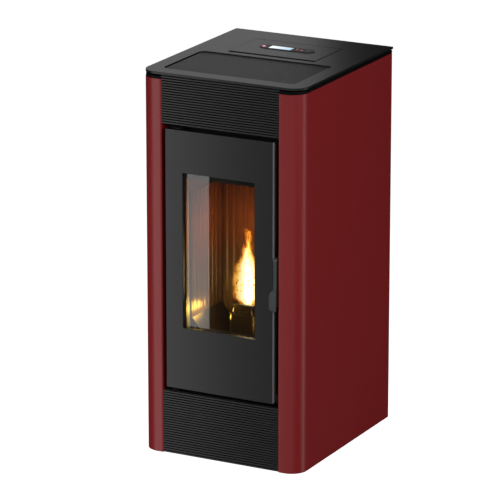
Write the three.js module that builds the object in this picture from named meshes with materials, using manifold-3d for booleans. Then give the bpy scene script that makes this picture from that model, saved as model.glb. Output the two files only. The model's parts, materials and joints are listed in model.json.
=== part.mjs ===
// Pellet stove with painted side panels, a glazed door, a hopper lid and a fine-slotted top grille.
// Millimetres, +Z up. The front faces -Y, and the origin is on the floor below the stove's middle.
// Every piece is one closed solid, and neighbouring pieces keep a small gap between them.

import * as THREE from 'three';
import { mergeVertices } from 'three/addons/utils/BufferGeometryUtils.js';
import Module from 'manifold-3d';

const wasm = await Module();
wasm.setup();

// ---------------------------------------------------------------- driving dimensions

const gap = 0.4;
const over = 5; // how far a cutting tool runs past what it cuts

const body = { half: 226.7, front: -262.2, back: 262.2, bottom: 3, top: 1000, corner: 41.6, sheet: 2 };
const bay = { half: 168.7, depth: 50 }; // the front bay between the two side panels
const backHem = 18;

const deck = { bottom: 1000.4, top: 1007.5, proud: 1, sheet: 2, flange: 3 };
const plate = { half: 230.2, front: -260.4, back: 264.2, bottom: 1010.5, top: 1016.8, corner: 42 };
const grille = { half: 189, front: -216, back: -4, corner: 16, sunk: 3, sheet: 1.5 };
const lid = { half: 124.5, front: 27, axisY: 176, axisZ: 1013.6, barrel: 3.8, thick: 6, fingerGap: 4.5 };
const panel = { x: 0.5, y: 109, halfLength: 78, radius: 19, lip: 4, rise: 0.8, depth: 15 };
const display = { x: -17, length: 62, width: 24 };

const louvre = { half: 167.9, depth: 10.2, groove: 4, upperBottom: 884.5, upperTop: 1010, lowerTop: 174 };
const ridges = { upper: 19, lower: 26 };

const frontPlate = { half: 166, front: -228, back: -225, bottom: 20, top: 998 };

const door = { left: -154.9, right: 152, bottom: 185, top: 873, front: -265.3, back: -253.3 };
const pane = { left: -105.6, right: 100.6, bottom: 350, top: 762 };
const glass = { front: -252.5, back: -248.5, lap: 10.4 };
const doorFrame = { left: -140, right: 146, bottom: 196, top: 862, back: -232, lap: 1.6 };
const rope = { left: -129, right: 124, bottom: 205, top: 845, width: 10, front: -237.6 };
const hinge = { x: -130, y: -259.3, pin: 4, pinBite: 13, tabHalf: 10, tab: 3 };
const handle = { left: 154.5, right: 163.5, pivotY: -246, pivotZ: 566, stud: 4 };

const fireX = -2.5; // middle of the window, firebox and pellet feed
const fire = { half: 104, front: -224.6, back: -52, bottom: 295, top: 787, wall: 3 };
const liner = { base: 3, rib: 1.6, pitch: 20, top: 700 };
const potFront = -130;
const support = { half: 50, back: -66, corner: 28, top: 362, wall: 4 };
const pot = { half: 37.5, back: -70, corner: 18, top: 390, bottom: 334, wall: 4, step: 5 };
const ash = { half: 97.5, back: -62, bottom: 214, top: 291.6, wall: 2, sill: 8, lintel: 6 };

const hopper = { half: 150, front: 15, back: 225, top: 998, shoulder: 760, bottom: 500, wall: 1.5 };
const throat = { half: 30, front: 75, back: 145 };
const auger = { radius: 32, wall: 2.5, length: 219, sum: 528, flight: 28, shaft: 9, pitch: 45 };
const chute = { half: 25, wall: 2, back: 25 };

const rear = { front: 232.4, back: 234.4, half: 222, bottom: 18, top: 990 };
const smoke = { left: -110, right: -58, front: -48.6, back: 8, bottom: 105, top: 862, wall: 2 };
const exhaust = { y: -19, z: 150, radius: 60, left: -155.4, right: -110.4, wall: 2, wheel: 48 };
const flue = { x: -133, z: 189, radius: 40, wall: 2, end: 269.4, start: 152 };
const blower = { y: -5, z: 112, radius: 58, left: -50, right: 90, wall: 2, wheel: 46 };
const airPipe = { radius: 25, wall: 2, x: 150, z: 252, end: 266, mouthY: -110 };
const inlet = { x: 165, z: 112, half: 24, tall: 14 };
const rocker = { z: 150, half: 10, tall: 14, tilt: 8 };

// ---------------------------------------------------------------- finishes

function finish(color, roughness, metalness) {
  return new THREE.MeshStandardMaterial({ color, roughness, metalness });
}

const redPaint = () => finish(0x7a2427, 0.45, 0.2);
const blackPaint = () => finish(0x2b2b2c, 0.55, 0.3);
const greyPaint = () => finish(0x55575a, 0.5, 0.4);
const castIron = () => finish(0x26211f, 0.7, 0.5);
const galvanised = () => finish(0x9a9fa2, 0.45, 0.8);
const bareSteel = () => finish(0x8a8884, 0.4, 0.9);
const ceramicGlass = () => finish(0x3a3230, 0.05, 0);
const glassRope = () => finish(0x8d8a82, 0.95, 0);
const vermiculite = () => finish(0xb39a70, 0.95, 0);
const blackPlastic = () => finish(0x17181a, 0.4, 0);
const buttonPlastic = () => finish(0xb9747c, 0.4, 0);
const lcdPlastic = () => finish(0xbfd8ea, 0.2, 0);

// ---------------------------------------------------------------- shape helpers

const stove = new THREE.Group();

function place(name, geometry, material) {
  const mesh = new THREE.Mesh(geometry, material);
  mesh.name = name;
  stove.add(mesh);
}

// A box from its low and high value on each axis.
function block(x, y, z) {
  const geometry = new THREE.BoxGeometry(x[1] - x[0], y[1] - y[0], z[1] - z[0]);
  return geometry.translate((x[0] + x[1]) / 2, (y[0] + y[1]) / 2, (z[0] + z[1]) / 2);
}

// A round bar along 'x', 'y' or 'z' from one value to another, through the point given.
function bar(axis, point, radius, from, to, sides = 12) {
  const geometry = new THREE.CylinderGeometry(radius, radius, to - from, sides);
  geometry.translate(0, (from + to) / 2, 0);
  const centre = { x: point.x ?? 0, y: point.y ?? 0, z: point.z ?? 0, [axis]: 0 };
  if (axis === 'x') {
    geometry.rotateZ(-Math.PI / 2);
  }
  if (axis === 'z') {
    geometry.rotateX(Math.PI / 2);
  }
  return geometry.translate(centre.x, centre.y, centre.z);
}

// A turned piece standing on z = 0: the profile is [radius, height] pairs from the bottom up.
function turned(profile, sides) {
  const points = profile.map(([radius, height]) => new THREE.Vector2(radius, height));
  return new THREE.LatheGeometry(points, sides).rotateX(Math.PI / 2);
}

function outlineOf(points) {
  return new THREE.Shape(points.map(([u, v]) => new THREE.Vector2(u, v)));
}

function extruded(points, depth, holes = []) {
  const shape = outlineOf(points);
  shape.holes = holes.map(outlineOf);
  return new THREE.ExtrudeGeometry(shape, { depth, bevelEnabled: false });
}

// Points are [x, y], and the piece stands from one height to another.
function upright(points, z, holes = []) {
  return extruded(points, z[1] - z[0], holes).translate(0, 0, z[0]);
}

// Points are [y, z], and the piece runs across the stove from one x to another.
function across(points, x, holes = []) {
  const turn = new THREE.Matrix4().set(0, 0, 1, x[0], 1, 0, 0, 0, 0, 1, 0, 0, 0, 0, 0, 1);
  return extruded(points, x[1] - x[0], holes).applyMatrix4(turn);
}

// Points are [x, z], and the piece runs from the front value of y to the back one.
function inward(points, y, holes = []) {
  const turn = new THREE.Matrix4().set(1, 0, 0, 0, 0, 0, -1, y[1], 0, 1, 0, 0, 0, 0, 0, 1);
  return extruded(points, y[1] - y[0], holes).applyMatrix4(turn);
}

function arc(u, v, radius, fromDegrees, toDegrees, steps) {
  const points = [];
  for (let step = 0; step <= steps; step += 1) {
    const angle = THREE.MathUtils.degToRad(fromDegrees + ((toDegrees - fromDegrees) * step) / steps);
    points.push([u + radius * Math.cos(angle), v + radius * Math.sin(angle)]);
  }
  return points;
}

function rectangle(u, v) {
  return [[u[0], v[0]], [u[1], v[0]], [u[1], v[1]], [u[0], v[1]]];
}

function roundedRectangle(u, v, radius, steps = 4) {
  return [
    ...arc(u[0] + radius, v[0] + radius, radius, 180, 270, steps),
    ...arc(u[1] - radius, v[0] + radius, radius, 270, 360, steps),
    ...arc(u[1] - radius, v[1] - radius, radius, 0, 90, steps),
    ...arc(u[0] + radius, v[1] - radius, radius, 90, 180, steps),
  ];
}

// Square at the back, rounded at the two front corners.
function coverOutline(half, front, back, radius, steps = 6) {
  return [
    ...arc(-half + radius, front + radius, radius, 180, 270, steps),
    ...arc(half - radius, front + radius, radius, 270, 360, steps),
    [half, back],
    [-half, back],
  ];
}

function around(centre, half) {
  return [centre - half, centre + half];
}

// ---------------------------------------------------------------- joining and cutting

const weldDistance = 1e-4;

function solid(geometry) {
  const bare = geometry.clone();
  bare.deleteAttribute('normal');
  bare.deleteAttribute('uv');
  const welded = mergeVertices(bare, weldDistance);
  const corners = welded.index.array;
  const kept = [];
  for (let first = 0; first < corners.length; first += 3) {
    const [a, b, c] = corners.slice(first, first + 3);
    if (a !== b && b !== c && c !== a) {
      kept.push(a, b, c);
    }
  }
  const vertProperties = new Float32Array(welded.attributes.position.array);
  return new wasm.Manifold(new wasm.Mesh({ numProp: 3, vertProperties, triVerts: new Uint32Array(kept) }));
}

function geometryOf(manifold) {
  const mesh = manifold.getMesh();
  const geometry = new THREE.BufferGeometry();
  geometry.setAttribute('position', new THREE.BufferAttribute(mesh.vertProperties, 3));
  geometry.setIndex(new THREE.BufferAttribute(mesh.triVerts, 1));
  geometry.computeVertexNormals();
  return geometry;
}

function join(...geometries) {
  return geometryOf(geometries.map(solid).reduce((whole, next) => whole.add(next)));
}

function cut(geometry, ...tools) {
  return geometryOf(tools.map(solid).reduce((whole, tool) => whole.subtract(tool), solid(geometry)));
}

// ---------------------------------------------------------------- casing

function baseTray() {
  const floor = 14;
  const rim = 45;
  const sheet = 2.5;
  const half = rear.half;
  const tray = block([-half, half], [fire.front, rear.front - gap], [floor, rim]);
  const inside = block(
    [-half + sheet, half - sheet],
    [fire.front + sheet, rear.front - gap - sheet],
    [floor + sheet, rim + over],
  );
  const holes = footPlaces().map((at) => bar('z', at, foot.stem + gap, 0, rim));
  const notches = [-1, 1].map((side) => block(
    around(side * (bay.half + 40), 40 + gap),
    [fire.front - over, body.front + bay.depth + gap],
    [floor - over, rim + over],
  ));
  place('base_tray', cut(tray, inside, ...holes, ...notches), galvanised());
}

const foot = { pad: 17, padTop: 6, neck: 9, stem: 5, top: 40, insetX: 32, insetY: 40 };

function footPlaces() {
  const places = [];
  for (const side of [-1, 1]) {
    for (const y of [fire.front + foot.insetY, rear.front - foot.insetY]) {
      places.push({ x: side * (rear.half - foot.insetX), y });
    }
  }
  return places;
}

function levellingFeet() {
  const names = ['foot_front_left', 'foot_rear_left', 'foot_front_right', 'foot_rear_right'];
  const profile = [
    [0, 0],
    [foot.pad, 0],
    [foot.pad, foot.padTop],
    [foot.neck, foot.neck],
    [foot.stem, foot.neck],
    [foot.stem, foot.top],
    [0, foot.top],
  ];
  footPlaces().forEach((at, index) => {
    place(names[index], turned(profile, 12).translate(at.x, at.y, 0), blackPlastic());
  });
}

// One folded sheet: back hem, side wall, rounded front corner, front strip and the return into the bay.
function sidePanel(name, side) {
  const { half, front, back, corner, sheet } = body;
  const steps = 8;
  const outside = [
    [half - backHem, back],
    [half, back],
    ...arc(half - corner, front + corner, corner, 0, -90, steps),
    [bay.half, front],
    [bay.half, front + bay.depth],
  ];
  const inside = [
    [bay.half + sheet, front + bay.depth],
    [bay.half + sheet, front + sheet],
    ...arc(half - corner, front + corner, corner - sheet, -90, 0, steps),
    [half - sheet, back - sheet],
    [half - backHem, back - sheet],
  ];
  const section = [...outside, ...inside].map(([x, y]) => [side * x, y]);
  place(name, upright(section, [body.bottom, body.top]), redPaint());
}

// A shallow tray turned upside down, open below the grille and above the hopper.
function topDeck() {
  const { bottom, top, proud, sheet, flange } = deck;
  const outer = coverOutline(body.half + proud, body.front - proud, body.back + proud, body.corner + proud);
  const inner = coverOutline(
    body.half + proud - flange,
    body.front - proud + flange,
    body.back + proud - flange,
    body.corner + proud - flange,
  );
  const seat = { radius: 8, insetX: 22, insetY: 38 };
  const ledge = 8; // how far the deck reaches in under the grille
  const mouth = { half: 118, front: 31, back: 171 };
  const through = [bottom - over, top + over];
  const notchY = [body.front - over, body.front + louvre.depth + gap];
  const louvreNotch = block(around(0, bay.half + gap / 2), notchY, through);
  const underside = upright(inner, [bottom - over, top - sheet]);
  const frontWall = block(around(0, bay.half + flange), around(body.front + louvre.depth + flange, flange / 2),
    [bottom, top]);
  const grilleHole = block(around(0, grille.half - ledge), [grille.front + ledge, grille.back - ledge], through);
  const hopperHole = block(around(0, mouth.half), [mouth.front, mouth.back], through);
  const seats = [];
  for (const x of [-1, 1].map((side) => side * (body.half - seat.insetX))) {
    for (const y of [body.front + seat.insetY + body.corner, body.back - seat.insetY]) {
      seats.push(bar('z', { x, y }, seat.radius, top - sheet, plate.bottom - gap));
    }
  }
  const shell = cut(upright(outer, [bottom, top]), underside);
  const walled = join(shell, frontWall, ...seats);
  place('top_deck', cut(walled, louvreNotch, grilleHole, hopperHole), blackPaint());
}

function topPlate() {
  const outline = coverOutline(plate.half, plate.front, plate.back, plate.corner);
  const grilleOpening = roundedRectangle(around(0, grille.half), [grille.front, grille.back], grille.corner);
  const lidPlay = 0.6;
  const lidY = [lid.front - lid.fingerGap, lid.axisY + lid.barrel + gap];
  const lidOpening = rectangle(around(0, lid.half + lidPlay), lidY);
  const slab = upright(outline, [plate.bottom, plate.top], [grilleOpening, lidOpening]);
  const rodHole = bar('x', { y: lid.axisY, z: lid.axisZ }, hingeRod.radius + gap, -hingeRod.half - gap,
    hingeRod.half + gap);
  place('top_plate', cut(slab, rodHole), greyPaint());
}

// A pressed tray whose floor is opened by long slots running front to back.
function topGrille() {
  const top = plate.top - grille.sunk;
  const x = around(0, grille.half - gap);
  const y = [grille.front + gap, grille.back - gap];
  const rim = 2;
  const slot = { columns: 30, width: 5, margin: 12 };
  const sheet = upright(roundedRectangle(x, y, grille.corner - gap), [top - grille.sheet, top]);
  const skirt = upright(roundedRectangle(x, y, grille.corner - gap), [deck.top + gap, top - grille.sheet],
    [roundedRectangle([x[0] + rim, x[1] - rim], [y[0] + rim, y[1] - rim], grille.corner - gap - rim)]);
  const pitch = (x[1] - x[0] - 2 * slot.margin) / slot.columns;
  const slotY = [y[0] + slot.margin, y[1] - slot.margin];
  const slots = [];
  for (let column = 0; column < slot.columns; column += 1) {
    const middle = x[0] + slot.margin + (column + 0.5) * pitch;
    slots.push(block(around(middle, slot.width / 2), slotY, around(top, over / 2)));
  }
  place('top_grille', cut(join(sheet, skirt), ...slots), blackPaint());
}

const hingeRod = { radius: 1.5, half: 131 };

// A flat plate whose back edge is a round barrel, bored for the hinge rod, with an oblong hole for the panel.
function hopperLid() {
  const top = lid.axisZ + lid.barrel;
  const { axisY, axisZ, barrel, thick, half } = lid;
  const section = [
    [lid.front, top - thick],
    [axisY, top - thick],
    ...arc(axisY, axisZ, barrel, -90, 90, 6),
    [lid.front, top],
  ];
  const slab = across(section, around(0, half));
  const x = around(panel.x, panel.halfLength - panel.lip + gap);
  const y = around(panel.y, panel.radius - panel.lip + gap);
  const slot = upright(roundedRectangle(x, y, panel.radius - panel.lip + gap, 5), [top - over * 2, top + over]);
  const bore = bar('x', { y: axisY, z: axisZ }, hingeRod.radius + gap, -half - over, half + over);
  place('hopper_lid', cut(slab, slot, bore), greyPaint());
  const rod = bar('x', { y: axisY, z: axisZ }, hingeRod.radius, -hingeRod.half, hingeRod.half);
  place('lid_hinge_rod', rod, bareSteel());
}

function lidSeal() {
  const width = 3;
  const inset = { side: 3.5, front: 3, back: 3 };
  const x = around(0, lid.half - inset.side);
  const y = [lid.front + inset.front, lid.axisY - inset.back];
  const hole = rectangle([x[0] + width, x[1] - width], [y[0] + width, y[1] - width]);
  const height = [deck.top + gap, lid.axisZ + lid.barrel - lid.thick - gap];
  place('lid_seal', upright(rectangle(x, y), height, [hole]), glassRope());
}

// ---------------------------------------------------------------- control panel

const lidTop = lid.axisZ + lid.barrel;
const panelTop = lidTop + gap + panel.rise;
const key = { rise: 0.7, deep: 4.2, travel: 1 };
const keys = {
  power_button: { x: -66, y: 107, radius: 6.5 },
  up_button: { x: 28, y: 113, radius: 4.5 },
  down_button: { x: 43, y: 107, radius: 4.5 },
  menu_button: { x: 61, y: 111, radius: 6.5 },
};

function controlPanel() {
  const { x, y, halfLength, radius, lip, depth } = panel;
  const steps = 6;
  const flat = 0.01; // a hair of straight edge keeps the two end arcs apart
  const bezel = upright(
    roundedRectangle(around(x, halfLength), around(y, radius), radius - flat, steps),
    [lidTop + gap, panelTop],
  );
  const box = upright(
    roundedRectangle(around(x, halfLength - lip), around(y, radius - lip), radius - lip - flat, steps),
    [panelTop - depth, lidTop + gap + panel.rise / 2],
  );
  const screenPocket = block(
    around(display.x, display.length / 2 + gap),
    around(y, display.width / 2 + gap),
    [lidTop - 1, panelTop + over],
  );
  const floor = panelTop + key.rise - key.deep - key.travel - gap;
  const wells = Object.values(keys).map((one) => bar('z', one, one.radius + gap, floor, panelTop + over));
  place('control_panel', cut(join(bezel, box), screenPocket, ...wells), blackPlastic());
}

function displayWindow() {
  const window = block(
    around(display.x, display.length / 2),
    around(panel.y, display.width / 2),
    [lidTop - 1 + gap, panelTop + 0.3],
  );
  place('display_window', window, lcdPlastic());
}

function panelButtons() {
  for (const [name, one] of Object.entries(keys)) {
    const top = panelTop + key.rise;
    const cap = bar('z', one, one.radius, top - key.deep, top, 16);
    place(name, cap, buttonPlastic());
  }
}

// ---------------------------------------------------------------- louvred front panels

// A ridged front sheet with a flange along its top and bottom that reaches back to the front plate.
function louvrePanel(name, bottom, top, count) {
  const sheet = 2;
  const flangeBack = frontPlate.front - gap;
  const pitch = (top - bottom) / count;
  const ridge = { low: 0.18, high: 0.62 };
  const front = body.front;
  const back = front + louvre.depth;
  const points = [[flangeBack, bottom]];
  for (let index = 0; index < count; index += 1) {
    const start = bottom + index * pitch;
    points.push([front + louvre.groove, start]);
    points.push([front, start + ridge.low * pitch]);
    points.push([front, start + ridge.high * pitch]);
  }
  points.push([front + louvre.groove, top]);
  points.push([flangeBack, top]);
  points.push([flangeBack, top - sheet]);
  points.push([back, top - sheet]);
  points.push([back, bottom + sheet]);
  points.push([flangeBack, bottom + sheet]);
  // From the back flange along the bottom and up the front runs clockwise seen from +X, so it is reversed.
  place(name, across(points.slice(1).concat([points[0]]).reverse(), around(0, louvre.half)), blackPaint());
}

function frontPlateSheet() {
  const { half, front, back, bottom, top } = frontPlate;
  const airOpening = { half: 140, bottom: 50, top: 165 };
  const sheet = inward(rectangle(around(0, half), [bottom, top]), [front, back], [
    rectangle(around(fireX, fire.half), [fire.bottom + 1, fire.top]),
    rectangle(around(fireX, ash.half - ash.wall), [ash.bottom + ash.sill, ash.top - ash.lintel]),
    rectangle(around(0, airOpening.half), [airOpening.bottom, airOpening.top]),
  ]);
  place('front_plate', sheet, blackPaint());
}

// ---------------------------------------------------------------- door

function doorPanel() {
  const { left, right, bottom, top, front, back } = door;
  const slab = inward(
    rectangle([left, right], [bottom, top]),
    [front, back],
    [rectangle([pane.left, pane.right], [pane.bottom, pane.top])],
  );
  const bore = hinge.pin + gap;
  const upper = bar('z', hinge, bore, top - hinge.pinBite - 1, top + over);
  const lower = bar('z', hinge, bore, bottom - over, bottom + hinge.pinBite + 1);
  place('door_panel', cut(slab, upper, lower), blackPaint());
}

function doorGlass() {
  const pad = glass.lap;
  const sheet = block(
    [pane.left - pad, pane.right + pad],
    [glass.front, glass.back],
    [pane.bottom - pad, pane.top + pad],
  );
  place('door_glass', sheet, ceramicGlass());
}

// The welded frame behind the door panel: it clamps the glass, holds the rope and carries the handle stud.
function doorInnerFrame() {
  const { left, right, bottom, top, back, lap } = doorFrame;
  const front = door.back + gap;
  const shift = { bottom: -8, top: -16 }; // the frame's opening sits a little lower than the pane
  const hole = rectangle([pane.left + lap, pane.right - lap], [pane.bottom + shift.bottom, pane.top + shift.top]);
  const slab = inward(rectangle([left, right], [bottom, top]), [front, back], [hole]);
  const pad = glass.lap + gap;
  const glassPocket = block(
    [pane.left - pad, pane.right + pad],
    [front - over, glass.back + gap],
    [pane.bottom - pad, pane.top + pad],
  );
  const groove = inward(
    rectangle([rope.left - gap, rope.right + gap], [rope.bottom - gap, rope.top + gap]),
    [rope.front - gap, back + over],
    [rectangle(
      [rope.left + rope.width + gap, rope.right - rope.width - gap],
      [rope.bottom + rope.width + gap, rope.top - rope.width - gap],
    )],
  );
  const at = { y: handle.pivotY, z: handle.pivotZ };
  const head = { radius: 6, thick: 2.4 };
  const stud = bar('x', at, handle.stud, right - over, handle.right + gap + head.thick);
  const cap = bar('x', at, head.radius, handle.right + gap, handle.right + gap + head.thick);
  place('door_inner_frame', join(cut(slab, glassPocket, groove), stud, cap), castIron());
}

function doorRopeSeal() {
  const { left, right, bottom, top, width, front } = rope;
  const back = frontPlate.front - gap;
  const pad = inward(roundedRectangle([left, right], [bottom, top], width), [front, back]);
  const hole = block([left + width, right - width], [front - over, back + over], [bottom + width, top - width]);
  place('door_rope_seal', cut(pad, hole), glassRope());
}

// A tab on the front plate with a pin that enters the door's edge.
function hingeBracket(name, tabLow, pinFrom, pinTo, shoulder) {
  const x = around(hinge.x, hinge.tabHalf);
  const back = frontPlate.front - gap;
  const tab = block(x, [hinge.y - hinge.pin - 1, back], [tabLow, tabLow + hinge.tab]);
  const foot = block(x, [back - hinge.tab, back], [tabLow, tabLow + hinge.tab + 1]);
  const pin = bar('z', hinge, hinge.pin, pinFrom, pinTo);
  const collar = bar('z', hinge, hinge.pin + 1.5, shoulder[0], shoulder[1]);
  place(name, join(tab, foot, pin, collar), bareSteel());
}

function doorHinges() {
  const upperTab = door.top + 5;
  const lowerTab = door.bottom - 4 - hinge.tab;
  hingeBracket('upper_hinge_bracket', upperTab, door.top - hinge.pinBite, upperTab + 1, [door.top + gap, upperTab + 1]);
  hingeBracket(
    'lower_hinge_bracket',
    lowerTab,
    lowerTab + 1,
    door.bottom + hinge.pinBite,
    [lowerTab + 1, door.bottom - gap],
  );
}

// A lever hanging from the stud in the slot beside the door, with a finger tab lapped over the door's edge.
function doorHandle() {
  const lever = {
    front: -266.6, back: -254.4, bottom: 444, shoulder: 556, crown: 573, corner: 10, chamfer: 3,
    eyeBack: -239, noseBack: -231.6, noseLow: 561, noseHigh: 569,
  };
  const outline = [
    [lever.front + lever.chamfer, lever.bottom],
    [lever.back, lever.bottom],
    [lever.back, lever.shoulder],
    [lever.eyeBack, lever.shoulder],
    [lever.noseBack, lever.noseLow],
    [lever.noseBack, lever.noseHigh],
    [lever.eyeBack, lever.crown],
    ...arc(lever.front + lever.corner, lever.crown - lever.corner, lever.corner, 90, 180, 5),
    [lever.front, lever.bottom + lever.chamfer],
  ];
  const tab = { left: 143.5, bottom: 434, top: 494, thick: 3, corner: 9, sweep: 26, sunk: 0.2 };
  const tabOutline = [
    ...arc(tab.left + tab.corner, tab.bottom + tab.corner, tab.corner, 270, 180, 5),
    ...arc(tab.left + tab.sweep, tab.top - tab.sweep, tab.sweep, 180, 110, 7),
    [handle.right, tab.top],
    [handle.right, tab.bottom],
  ].reverse();
  const bore = bar('x', { y: handle.pivotY, z: handle.pivotZ }, handle.stud + gap, handle.left - over,
    handle.right + over);
  const plateGeometry = across(outline, [handle.left, handle.right]);
  const tabGeometry = inward(tabOutline, [lever.front - tab.thick + tab.sunk, lever.front + tab.sunk]);
  place('door_handle', cut(join(plateGeometry, tabGeometry), bore), castIron());
}

// A hooked bracket on the front plate: a foot against the plate and a lip with a chamfered lower corner.
function latchStrike() {
  const back = frontPlate.front - gap;
  const low = 574.5;
  const { tall, thick, lip, reach, chamfer } = { tall: 20, thick: 3, lip: 6, reach: 12, chamfer: 2 };
  const outline = [
    [back - reach + chamfer, low],
    [back, low],
    [back, low + tall],
    [back - thick, low + tall],
    [back - thick, low + lip],
    [back - reach, low + lip],
    [back - reach, low + chamfer],
  ];
  place('latch_strike', across(outline, [handle.left, handle.right]), bareSteel());
}

// ---------------------------------------------------------------- firebox

function fireboxShell() {
  const { half, front, back, bottom, top, wall } = fire;
  const outer = block(around(fireX, half + wall), [front, back + wall], [bottom - wall, top + wall]);
  const inner = block(around(fireX, half), [front - over, back], [bottom, top]);
  const ashDrop = { half: 60, front: -165, back: -64 };
  const smokeExit = { half: 80, front: -180, back: -130 };
  const ashHole = block(
    around(fireX, ashDrop.half),
    [ashDrop.front, ashDrop.back],
    [bottom - over * 2, bottom + over],
  );
  const smokeHole = block(
    around(fireX, smokeExit.half),
    [smokeExit.front, smokeExit.back],
    [top - over, top + over * 2],
  );
  const holes = [ashHole, smokeHole, chuteOpening(), igniterHole(igniter.radius + 1)];
  place('firebox_shell', cut(outer, inner, ...holes), bareSteel());
}

// Flutes along one edge of a liner's section: pairs of points stepping between the base and the rib faces.
function flutes(from, to, baseLevel, ribLevel) {
  const count = Math.round(Math.abs(to - from) / liner.pitch);
  const step = (to - from) / count;
  const points = [];
  for (let index = 0; index < count; index += 1) {
    const start = from + index * step;
    points.push([start + step * 0.2, baseLevel]);
    points.push([start + step * 0.35, ribLevel]);
    points.push([start + step * 0.65, ribLevel]);
    points.push([start + step * 0.8, baseLevel]);
  }
  return points;
}

function backLiner() {
  const behind = fire.back - gap;
  const half = fire.half - liner.base - liner.rib - 2 * gap;
  const [left, right] = around(fireX, half);
  const face = behind - liner.base;
  const section = [
    [right, behind],
    [left, behind],
    [left, face],
    ...flutes(left, right, face, face - 2 * liner.rib),
    [right, face],
  ];
  const slab = upright(section, [fire.bottom + 4, liner.top]);
  place('back_liner', cut(slab, chuteOpening(), igniterHole(igniter.radius + 1)), castIron());
}

function sideLiner(name, side) {
  const outer = fire.half - gap;
  const face = outer - liner.base;
  const front = fire.front + 3;
  const back = fire.back - gap;
  const section = [
    [outer, front],
    [outer, back],
    [face, back],
    ...flutes(back, front, 0, 1).map(([y, rib]) => [face - rib * liner.rib, y]),
    [face, front],
  ].map(([x, y]) => [fireX + side * x, y]);
  place(name, upright(section, [fire.bottom + gap, liner.top]), castIron());
}

// A sloping heat shield across the top of the chamber, resting on the liners.
function baffle() {
  const thick = 12;
  const low = liner.top + gap;
  const rise = 34;
  const back = fire.back - 1;
  const front = -185;
  const outline = [[back, low], [back, low + thick], [front, low + thick + rise], [front, low + rise]];
  place('baffle', across(outline, around(fireX, fire.half - 2)), vermiculite());
}

// Folded floor sheet: a slope down from each side liner to a flat floor with the opening below the pot.
function ashFunnel() {
  const sheet = 3;
  const outer = fire.half - liner.base - liner.rib - 2 * gap;
  const foldX = 47;
  const floor = fire.bottom + gap;
  const slope = 1.32;
  const rise = (outer - foldX) * slope;
  const lift = sheet * Math.hypot(1, slope);
  const right = [
    [foldX, floor],
    [outer, floor + rise],
    [outer, floor + rise + lift],
    [foldX - sheet / slope, floor + sheet],
  ];
  const left = right.map(([x, z]) => [-x, z]).reverse();
  const section = [...right, ...left].map(([x, z]) => [fireX + x, z]);
  const sheetGeometry = inward(section, [fire.front + 3, fire.back - 2 * liner.base - 2 * liner.rib - gap]);
  const drop = { half: 38, front: -122, back: -74 };
  const opening = block(around(fireX, drop.half), [drop.front, drop.back], [floor - over, floor + over * 2]);
  place('ash_funnel', cut(sheetGeometry, opening), castIron());
}

const igniter = { radius: 5.5, z: 346, front: -68.6, back: 22, flange: 11, collar: 4, holeFront: -80 };

function igniterHole(radius) {
  return bar('y', { x: fireX, z: igniter.z }, radius, igniter.holeFront, fire.back + fire.wall + over);
}

function ignition() {
  const at = { x: fireX, z: igniter.z };
  const tube = bar('y', at, igniter.radius, igniter.front, igniter.back);
  const collarFront = fire.back + fire.wall + gap;
  const collar = bar('y', at, igniter.flange, collarFront, collarFront + igniter.collar);
  place('igniter', join(tube, collar), bareSteel());
}

// The oblong housing that stands between the two slopes of the funnel and carries the burn pot.
function potSupport() {
  const { half, back, corner, top, wall } = support;
  const steps = 6;
  const clear = 11; // stands this far above the floor of the firebox
  const low = fire.bottom + clear;
  const x = around(fireX, half);
  const y = [potFront, back];
  const hole = roundedRectangle(
    around(fireX, pot.half - pot.step + gap),
    [potFront + pot.step - gap, pot.back - pot.step + gap],
    pot.corner - pot.step + gap,
    steps,
  );
  const shell = upright(roundedRectangle(x, y, corner, steps), [low, top], [hole]);
  const hollow = upright(
    roundedRectangle([x[0] + wall, x[1] - wall], [y[0] + wall, y[1] - wall], corner - wall, steps),
    [low - over, top - wall],
  );
  place('pot_support', cut(shell, hollow, igniterHole(igniter.radius + gap)), castIron());
}

// The cast cup that holds the fire: two ribs below the rim, air holes in its sides and its floor.
function burnPot() {
  const { half, back, corner, top, bottom, wall, step } = pot;
  const steps = 5;
  const x = around(fireX, half);
  const y = [potFront, back];
  const ring = (inset, z) => upright(
    roundedRectangle([x[0] + inset, x[1] - inset], [y[0] + inset, y[1] - inset], corner - inset, steps),
    z,
  );
  const low = support.top + gap;
  const band = { low: 17, high: 7, groove: 1.4, lap: 1 };
  const shape = [
    ring(0, [low, low + band.low]),
    ring(band.groove, [low + band.low - band.lap, top - band.high + band.lap]),
    ring(0, [top - band.high, top]),
    ring(step, [bottom, low + band.lap]),
  ];
  const holes = [ring(step + wall, [bottom + wall, top + over])];
  const air = { floorRadius: 2.2, sideRadius: 2, rise: 8, sides: 6 };
  for (const offset of [-20, -10, 0, 10, 20]) {
    for (const depth of [-12, 0, 12]) {
      const at = { x: fireX + offset, y: (potFront + back) / 2 + depth };
      holes.push(bar('z', at, air.floorRadius, bottom - over, bottom + wall + over, air.sides));
    }
    const row = { x: fireX + offset, z: low + air.rise };
    holes.push(bar('y', row, air.sideRadius, potFront - over, back + over, air.sides));
  }
  place('burn_pot', cut(join(...shape), ...holes), castIron());
}

function ashBox() {
  const { half, back, bottom, top, wall } = ash;
  const outer = block(around(fireX, half), [fire.front, back], [bottom, top]);
  const inner = block(around(fireX, half - wall), [fire.front - over, back - wall], [bottom + wall, top + over]);
  const mouth = { y: airPipe.mouthY, z: airPipe.z };
  const wallX = [fireX + half - wall - over, fireX + half + over];
  const airHole = bar('x', mouth, airPipe.radius - airPipe.wall, ...wallX);
  place('ash_box', cut(outer, inner, airHole), galvanised());
}

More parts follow.
